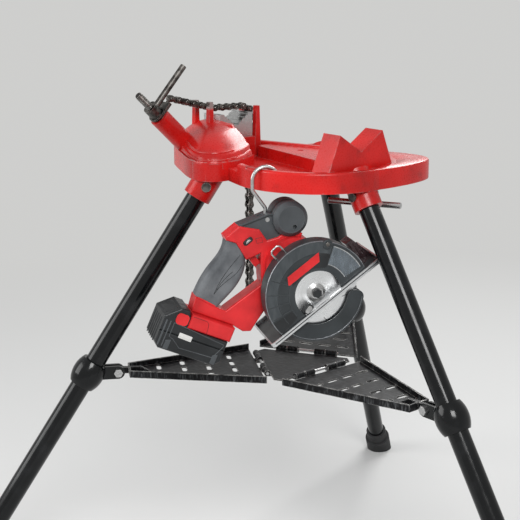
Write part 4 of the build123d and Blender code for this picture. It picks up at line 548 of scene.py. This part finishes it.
add_piece("guard_bolt_boss", bolt_boss, saw_frame, "saw", "charcoal_alloy")
hex_corners = [Vector(BOLT_PLACE) + Vector(polar(3.6, angle)) for angle in range(0, 360, 60)]
add_piece("guard_bolt_head", plate(hex_corners, 60.0, 61.4, 0.3), saw_frame, "saw", "oiled_steel")
window_trim = [band(box(inner, WINDOW_FACE, outer, WINDOW_FACE + 0.8), *WINDOW_TURN, 40)
               for inner, outer in ((78.6, 79.9), (49.2, 50.2))]
add_piece("window_trim", gathered(window_trim), saw_frame, "saw", "bright_alloy")
# Painted shadow: a near-black sector laid over the guard's rear face, standing in for the shade that falls there
painted_shadow_panel = band(box(49, GUARD_FACE, GUARD_RIM, GUARD_FACE + 0.6), 174, 190, 16)
add_piece("guard_painted_shadow_panel", painted_shadow_panel, saw_frame, "saw", "charcoal_alloy", black_trim_and_painted_shadow)

# Cutting head: shoe groove, lower guard bead, lever plate, blade slots and deflector ribs
BLADE_FACES = ((45.7, 45.9), (44.1, 44.3))
SLOT_LEAN = 24
shoe_groove = plate(box(-101, -18.9, 106, -17.3), 63.9, 64.2, 0.1)
add_piece("shoe_groove", shoe_groove, saw_frame, "saw", "black_plastic")
guard_line = raised([polar(75.2, angle) for angle in range(192, 317, 4)], 52.0)
add_piece("lower_guard_line", bead(guard_line, 0.5), saw_frame, "lower_guard", "charcoal_alloy", worn_rim)
lever_plate = rounded_bar(13, 7.5, 64.0, 64.8, ray(28, 196))
add_piece("lever_plate", lever_plate, saw_frame, "lower_guard", "steel")
slot_parts = []
for angle in range(15, 360, 60):
    for low, high in BLADE_FACES:
        slot_parts.append(rounded_bar(15, 1.1, low, high, ray(51, angle) @ turned(SLOT_LEAN)))
add_piece("blade_slots", gathered(slot_parts), saw_frame, "blade", "oiled_steel", black_trim_and_painted_shadow)
rib_lines = [bead([(f, -15, 31), (f, 22 - (f - 88) * 0.4, 31)], 0.8) for f in (88, 94, 100)]
add_piece("deflector_ribs", gathered(rib_lines), saw_frame, "saw", "smoke_red")

# Handle: grip seams, bar line, knob groove and lip, switch frame, lock insert, collar lip and foot seam
GRIP_FACE = 16.5
SWITCH_FACE = 17
FOOT_FACE = 34
KNOB = (40, 113)
upper_seam = [(-57, 117), (-70, 114.5), (-85, 111), (-100, 106.5), (-115, 100.5), (-127, 94)]
lower_seam = [(-127, 94), (-113, 97), (-100, 97.5), (-86, 97), (-74, 98.5), (-64, 102)]
middle_seam = [(-120, 96.5), (-108, 100.5), (-94, 103), (-82, 103.5)]
seam_parts = [both_sides(bead(raised(seam, GRIP_FACE), 0.45))
              for seam in (upper_seam, lower_seam, middle_seam)]
add_piece("grip_seams", gathered(seam_parts), saw_frame, "saw", "grey_rubber", black_trim_and_painted_shadow)
bar_corners = [(-28, 150.2), (16.4, 136.0), (31, 123.4), (32.4, 124.8), (17.2, 138.2), (-27, 152.4)]
bar_line = both_sides(plate(bar_corners, 13.9, 14.3))
add_piece("bar_line", bar_line, saw_frame, "saw", "grey_plastic", black_trim_and_painted_shadow)
knob_groove = band(box(27.6, 1.5, 28.2, 7.5), centre=KNOB)
add_piece("knob_groove", knob_groove, saw_frame, "saw", "grey_plastic", black_trim_and_painted_shadow)
knob_lip = band([(20.2, 25.8), (21.6, 25.8), (21.2, 26.3), (20.6, 26.3)], centre=KNOB)
add_piece("knob_lip", both_sides(knob_lip), saw_frame, "saw", "grey_plastic")
frame_path = raised([(-22, 122.5), (-13.5, 118), (-16.5, 110.5), (-25, 115), (-22, 122.5)], SWITCH_FACE)
add_piece("switch_frame", bead(frame_path, 0.4), saw_frame, "saw", "red_plastic", deep_red)
insert_corners = [(-39, 125.4), (-29, 125.4), (-30.5, 128.2), (-34, 129.2), (-37.5, 128.2)]
lock_insert = plate(insert_corners, 18.3, 18.85, 0.2, 0.6)
add_piece("lock_insert", lock_insert, saw_frame, "lock_off", "steel")
lip_path = [(-150, 107, 16.2), (-147.5, 101.5, 16.6), (-144.5, 95, 16.6), (-140, 84, 16.6),
            (-137.5, 77, 16.2)]
collar_lip = both_sides(bead(lip_path, 1.3, 10))
add_piece("grip_collar_lip", collar_lip, saw_frame, "saw", "red_plastic")
foot_path = raised([(-21, 20.5), (-2, 20.5), (3, 20), (6.5, 17), (8, 9), (9, 1.5)], FOOT_FACE)
foot_seam = both_sides(bead(foot_path, 0.4))
add_piece("foot_seam", foot_seam, battery_frame, "saw", "red_plastic", deep_red)

# Motor: a ring of vents round the housing
MOTOR_RISE = 50
VENT_PLACE = -40
vent_parts = []
for angle in range(0, 360, 30):
    turn = Matrix.Translation((0, MOTOR_RISE, 0)) @ turned(angle)
    stand_up = Matrix.Translation((0, 0, VENT_PLACE)) @ turned(90, "Y")
    vent_parts.append(rounded_bar(18, 4, 45.6, 46.25, turn @ stand_up))
add_piece("motor_vents", gathered(vent_parts), saw_frame, "saw", "black_plastic", black_trim_and_painted_shadow)

# Battery: edge strips, framed panel, bare plates, lugs and end ribs
BATTERY_FACE = 37.0
BATTERY_END = -66
strip_parts = []
for start, wide in ((-61, 2.6), (-54, 1.8)):
    strip = plate(box(start, -38, start + wide, 4), BATTERY_FACE - 0.2, BATTERY_FACE + 0.5, 0.2, 0.5)
    strip_parts.append(both_sides(strip))
add_piece("battery_edge_strips", gathered(strip_parts), battery_frame, "battery", "grey_plastic")
panel_path = [(-47, 3), (41, -6), (41, -10), (31, -31), (-25, -33), (-39, -23), (-47, -20), (-47, 3)]
panel_frame = both_sides(bead(raised(panel_path, BATTERY_FACE), 0.7))
add_piece("battery_panel_frame", panel_frame, battery_frame, "battery", "grey_plastic")
label_corners = [(-33, -17.5), (-11, -18.5), (-11, -10), (-33, -9)]
label = both_sides(plate(label_corners, BATTERY_FACE - 0.1, BATTERY_FACE + 0.3, 0.1, 0.8))
add_piece("battery_side_plate", label, battery_frame, "battery", "bright_alloy", bare_plate)
slope = Matrix.Translation((-55, 18.5, 0)) @ Matrix.Rotation(math.atan2(19, 22), 4, "Z")
slope_plate = plate(box(-10, -24, 10, 24), -0.1, 0.4, 0.2, 1.5)
slope_plate.transform(slope @ turned(-90, "X"))
add_piece("battery_slope_plate", slope_plate, battery_frame, "battery", "black_plastic", black_trim_and_painted_shadow)
lug_parts = []
for start in (-50, 30):
    lug_corners = [(start, -41), (start + 8, -41), (start + 8, -24), (start, -27)]
    lug_parts.append(both_sides(plate(lug_corners, BATTERY_FACE - 0.4, BATTERY_FACE + 1.0, 0.5, 1.0)))
add_piece("battery_lugs", gathered(lug_parts), battery_frame, "battery", "grey_plastic")
end_parts = []
for aside in (-24, -12, 0, 12, 24):
    lay = Matrix.Translation((BATTERY_END, -17, aside)) @ turned(-90, "Y") @ turned(90, "Z")
    end_parts.append(rounded_bar(40, 3, -0.2, 0.8, lay))
add_piece("battery_end_ribs", gathered(end_parts), battery_frame, "battery", "black_plastic")

# Stand: smooth dome over the base's near corner, its two ridges, and the far wing of the rim
DOME_CENTRE = Vector((-163, -40, 0))
DOME_FOOT = 0.4
DOME_HINGE = (*DOME_CENTRE.xy, 40)
DOME_TILT = Matrix.Rotation(math.radians(5), 3, (0.77, 0.64, 0))
TILTS_ABOVE = 32
JAW_SIDE = -37
RIM_TOP = 32.7
CURVE_STEPS = 14
dome_outline = [(-255, -34), (-255, -50), (-250, -64), (-239, -78), (-222, -90), (-200, -102),
                (-174, -115), (-148, -128), (-120, -142), (-96, -152), (-71, -157.5), (-52, -152),
                (-41, -138), (-36, -120), (-38, -96), (-50, -66), (-72, -30), (-110, -14), (-163, -4),
                (-220, -12)]
dome_levels = [(29, 1.0), (32, 0.993), (33.6, 0.975), (34.2, 0.95), (40, 0.935), (42.5, 0.915),
               (43.2, 0.885), (49, 0.865), (52, 0.835), (53, 0.8), (58.5, 0.74), (64, 0.66), (69, 0.57),
               (73.5, 0.47), (76.5, 0.36), (78.2, 0.24), (78.8, 0.12)]


def drawn_in(outline, centre, foot, levels):
    """An outline that rises by (height, share) levels, drawn in towards a centre and closed on top."""
    bm = bmesh.new()
    verts = [bm.verts.new(point) for point in raised(outline, foot)]
    edges = [bm.edges.new((a, b)) for a, b in zip(verts, verts[1:] + verts[:1])]
    reached = 1.0
    for level, share in levels:
        grown = bmesh.ops.extrude_edge_only(bm, edges=edges)["geom"]
        verts = [item for item in grown if isinstance(item, bmesh.types.BMVert)]
        edges = [item for item in grown if isinstance(item, bmesh.types.BMEdge)]
        bmesh.ops.scale(bm, verts=verts, vec=(share / reached, share / reached, 1),
                        space=Matrix.Translation(-centre))
        for vert in verts:
            vert.co.z = level
        reached = share
    bmesh.ops.holes_fill(bm, edges=edges, sides=0)
    return bm


dome = drawn_in(dome_outline, DOME_CENTRE, DOME_FOOT, dome_levels)
upper = [vert for vert in dome.verts if vert.co.z > TILTS_ABOVE]
bmesh.ops.rotate(dome, verts=upper, cent=DOME_HINGE, matrix=DOME_TILT)
whole_dome = list(dome.verts) + list(dome.edges) + list(dome.faces)
bmesh.ops.bisect_plane(dome, geom=whole_dome, plane_co=(0, JAW_SIDE, 0), plane_no=(0, 1, 0),
                       clear_outer=True)
bmesh.ops.holes_fill(dome, edges=[edge for edge in dome.edges if edge.is_boundary], sides=0)
add_piece("corner_dome", dome, stand_frame, "stand", "red_paint")
ridge_parts = []
for share, level, radius in ((0.9, 42.8, 2.4), (0.815, 52.6, 2.0)):
    crest = [DOME_CENTRE.lerp(Vector(point), share) for point in raised(dome_outline[1:15], 0)]
    ridge_parts.append(bead(raised([point.xy for point in crest], level), radius, 10))
ridges = gathered(ridge_parts)
bmesh.ops.rotate(ridges, verts=ridges.verts, cent=DOME_HINGE, matrix=DOME_TILT)
add_piece("dome_ridges", ridges, stand_frame, "stand", "red_paint")
front_curve = raised([(176, -4), (182, 60), (176, 152), (138, 164)], 0)
rear_curve = raised([(138, 164), (100, 176), (50, 148), (0, 127)], 0)
wing_path = interpolate_bezier(*map(Vector, front_curve), CURVE_STEPS)
wing_path += interpolate_bezier(*map(Vector, rear_curve), CURVE_STEPS)[1:]
inner_corners = [(0, 118), (60, 113), (105, 98), (140, 66), (160, 20)]
rim_wing = plate([point.xy for point in wing_path] + inner_corners, 0.2, RIM_TOP, 3.5)
add_piece("rim_far_wing", rim_wing, stand_frame, "stand", "red_paint")

# Stand: chain of waisted link plates on turned pins and bushes
CHAIN_PITCH = 15.9
TAIL_LINKS = 15
LINK_PLATE = 1.8
LINK_ROUND = 6
LINK_WAIST = 3.7
INNER_LINK = 2.4
OUTER_LINK = 4.5
STRAP_PIN = (-124.89, 121.24)
TAIL_Y = 48.0
TAIL_PIVOT_BELOW = -8.0
chain_route = [STRAP_PIN, (-36, 98.5), (TAIL_Y - 6, 96.5), (TAIL_Y, 88.5),
               (TAIL_Y, -CHAIN_PITCH * TAIL_LINKS)]


def stepped(route, pitch, lowest):
    """Points one pitch apart along a route of corners, until one lies below the lowest height."""
    corners = [Vector(corner) for corner in route]
    points = [corners[0]]
    leg = 0
    while points[-1].y > lowest:
        while leg < len(corners) - 2 and (corners[leg + 1] - points[-1]).length < pitch:
            leg += 1
        start, end = corners[leg], corners[leg + 1]
        crossings = intersect_line_sphere_2d(start, end, points[-1], pitch, False)
        points.append(max(crossings, key=lambda point: (point - start).dot(end - start)))
    return points


run_pins = stepped(chain_route, CHAIN_PITCH, TAIL_PIVOT_BELOW)
tail_pins = [run_pins[-1] - Vector((0, CHAIN_PITCH * number)) for number in range(TAIL_LINKS + 1)]
round_end = [polar(LINK_ROUND, angle) for angle in range(-120, 121, 20)]
link_end = [(CHAIN_PITCH / 2 + x, y) for x, y in round_end]
link_outline = link_end + [(0, LINK_WAIST)] + [(-x, -y) for x, y in link_end] + [(0, -LINK_WAIST)]
pin_profile = [(0, -7.2), (2.1, -7.2), (2.5, -6.8), (2.5, 6.8), (2.1, 7.2), (0, 7.2)]
bush_profile = box(2.6, -2.3, 3.9, 2.3)


def chain(pins, own_pins, bushed):
    """Paired link plates from pin to pin, inner and outer by turns, with their pins and bushes."""
    parts = []
    for number, (start, end) in enumerate(zip(pins, pins[1:])):
        low = OUTER_LINK if number % 2 else INNER_LINK
        link = both_sides(plate(link_outline, low, low + LINK_PLATE, 0.4))
        way = end - start
        middle = Matrix.Translation((start + way / 2).to_3d())
        link.transform(middle @ Matrix.Rotation(math.atan2(way.y, way.x), 4, "Z"))
        parts.append(link)
    parts += [band(pin_profile, steps=16, centre=place) for place in own_pins]
    parts += [band(bush_profile, steps=20, centre=place) for place in bushed]
    return gathered(parts)


run_chain = chain(run_pins, run_pins, run_pins[1:])
run_links = add_piece("chain_links", run_chain, chain_frame, "stand", "oiled_steel")
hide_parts("chain_run")
tail_chain = chain(tail_pins, tail_pins[1:], tail_pins[1:])
tail_links = add_piece("chain_tail_links", tail_chain, chain_frame, "chain_tail", "oiled_steel")
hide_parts("chain_tail")

# Stand: tension screw with its thread
THREAD_TURNS = 37
THREAD_PITCH = 2.5
TURN_STEPS = 20
core = band([(0, -40), (5.8, -40), (5.8, 57.2), (5.0, 58), (0, 58)], steps=32)
thread = band([(5.7, -39), (6.45, -38.2), (6.45, -37.8), (5.7, -37)], 0, 360 * THREAD_TURNS,
              THREAD_TURNS * TURN_STEPS, climb=THREAD_TURNS * THREAD_PITCH)
screw = add_piece("screw_thread", gathered([core, thread]), screw_frame, "stand", "oiled_steel")
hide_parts("tension_screw")

# Floor and soft studio light, in metres
FLOOR_HALF = 14
FLOOR_FADE = (0.9, 2.6)
PALE = (0.62, 0.62, 0.61)
floor_bm = bmesh.new()
bmesh.ops.create_grid(floor_bm, x_segments=1, y_segments=1, size=FLOOR_HALF)
floor_mesh = bpy.data.meshes.new("floor")
floor_bm.to_mesh(floor_mesh)
floor_bm.free()
floor = bpy.data.objects.new("floor", floor_mesh)
bpy.context.scene.collection.objects.link(floor)


def seen_rays(tree):
    """One for rays from the camera and for those that gloss and glass send on, else nothing."""
    path = shade(tree, "LightPath").outputs
    mirrored = count(tree, "MAXIMUM", path["Is Glossy Ray"], path["Is Transmission Ray"])
    return count(tree, "MAXIMUM", path["Is Camera Ray"], mirrored)


floor_finish, floor_tree, floor_shader = new_finish("pale_floor", PALE, 0.8)
floor_tone = tint(floor_tree, grain(floor_tree, 3, 4), (0.61, 0.61, 0.6), (0.63, 0.63, 0.62))
floor_tree.links.new(floor_tone, floor_shader.inputs["Base Color"])
floor_place = shade(floor_tree, "TexCoord").outputs["Object"]
fade = spread(floor_tree, reckon(floor_tree, "LENGTH", floor_place), *FLOOR_FADE)
far_share = count(floor_tree, "MULTIPLY", fade, seen_rays(floor_tree))
far_glow = shade(floor_tree, "Emission", {"Color": (*PALE, 1), "Strength": 1.0}).outputs[0]
floor_wires = {0: far_share, 1: floor_shader.outputs[0], 2: far_glow}
floor_mix = shade(floor_tree, "MixShader", floor_wires).outputs[0]
floor_tree.links.new(floor_mix, floor_tree.nodes["Material Output"].inputs["Surface"])
dress(floor, floor_finish)
floor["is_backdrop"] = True


def soft_lamp(name, place, target, size, power):
    """An area lamp aimed at a point."""
    lamp = bpy.data.lights.new(name, "AREA")
    lamp.shape = "RECTANGLE"
    lamp.size = size[0]
    lamp.size_y = size[1]
    lamp.energy = power
    holder = bpy.data.objects.new(name, lamp)
    holder.location = place
    holder.rotation_mode = "QUATERNION"
    holder.rotation_quaternion = (Vector(target) - Vector(place)).to_track_quat("-Z", "Y")
    bpy.context.scene.collection.objects.link(holder)


soft_lamp("key_lamp", (2.2, -1.6, 2.6), (0, 0, 0.6), (1.4, 1.4), 95)
soft_lamp("fill_lamp", (-1.6, -2.6, 1.6), (0, 0, 0.5), (1.8, 1.8), 45)
soft_lamp("back_lamp", (-1.2, 2.4, 2.4), (0, 0, 0.6), (1.6, 1.2), 55)
world = bpy.data.worlds.new("studio")
world.use_nodes = True
sky = world.node_tree.nodes["Background"]
sky.inputs["Color"].default_value = (0.9, 0.92, 0.95, 1)
sky.inputs["Strength"].default_value = 0.45
backdrop = shade(world.node_tree, "Background", {"Color": (*PALE, 1), "Strength": 1.0}).outputs[0]
sky_wires = {0: seen_rays(world.node_tree), 1: sky.outputs[0], 2: backdrop}
sky_mix = shade(world.node_tree, "MixShader", sky_wires).outputs[0]
world.node_tree.links.new(sky_mix, world.node_tree.nodes["World Output"].inputs["Surface"])
bpy.context.scene.world = world

# Camera at the photograph's angle, in metres and degrees, with its focal length in pixels
CAMERA_TURN = 49.83
CAMERA_RISE = 14.0
CAMERA_REACH = 2.1151
AIM_ASIDE = -0.06204
AIM_DOWN = 0.1447
FOCAL_PIXELS = 1250
PHOTO_PIXELS = 520
SENSOR_MM = 36.0
turn = math.radians(CAMERA_TURN)
rise = math.radians(CAMERA_RISE)
back = Vector((math.sin(turn) * math.cos(rise), -math.cos(turn) * math.cos(rise), math.sin(rise)))
right = Vector((math.cos(turn), math.sin(turn), 0))
aim = STAND_ORIGIN + right * AIM_ASIDE - Z_WAY * AIM_DOWN
lens = bpy.data.cameras.new("photo_camera")
lens.sensor_width = SENSOR_MM
lens.lens = FOCAL_PIXELS / PHOTO_PIXELS * SENSOR_MM
camera = bpy.data.objects.new("photo_camera", lens)
camera.location = aim + back * CAMERA_REACH
camera.rotation_mode = "QUATERNION"
camera.rotation_quaternion = (-back).to_track_quat("-Z", "Y")
bpy.context.scene.collection.objects.link(camera)
bpy.context.scene.camera = camera

low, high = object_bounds()
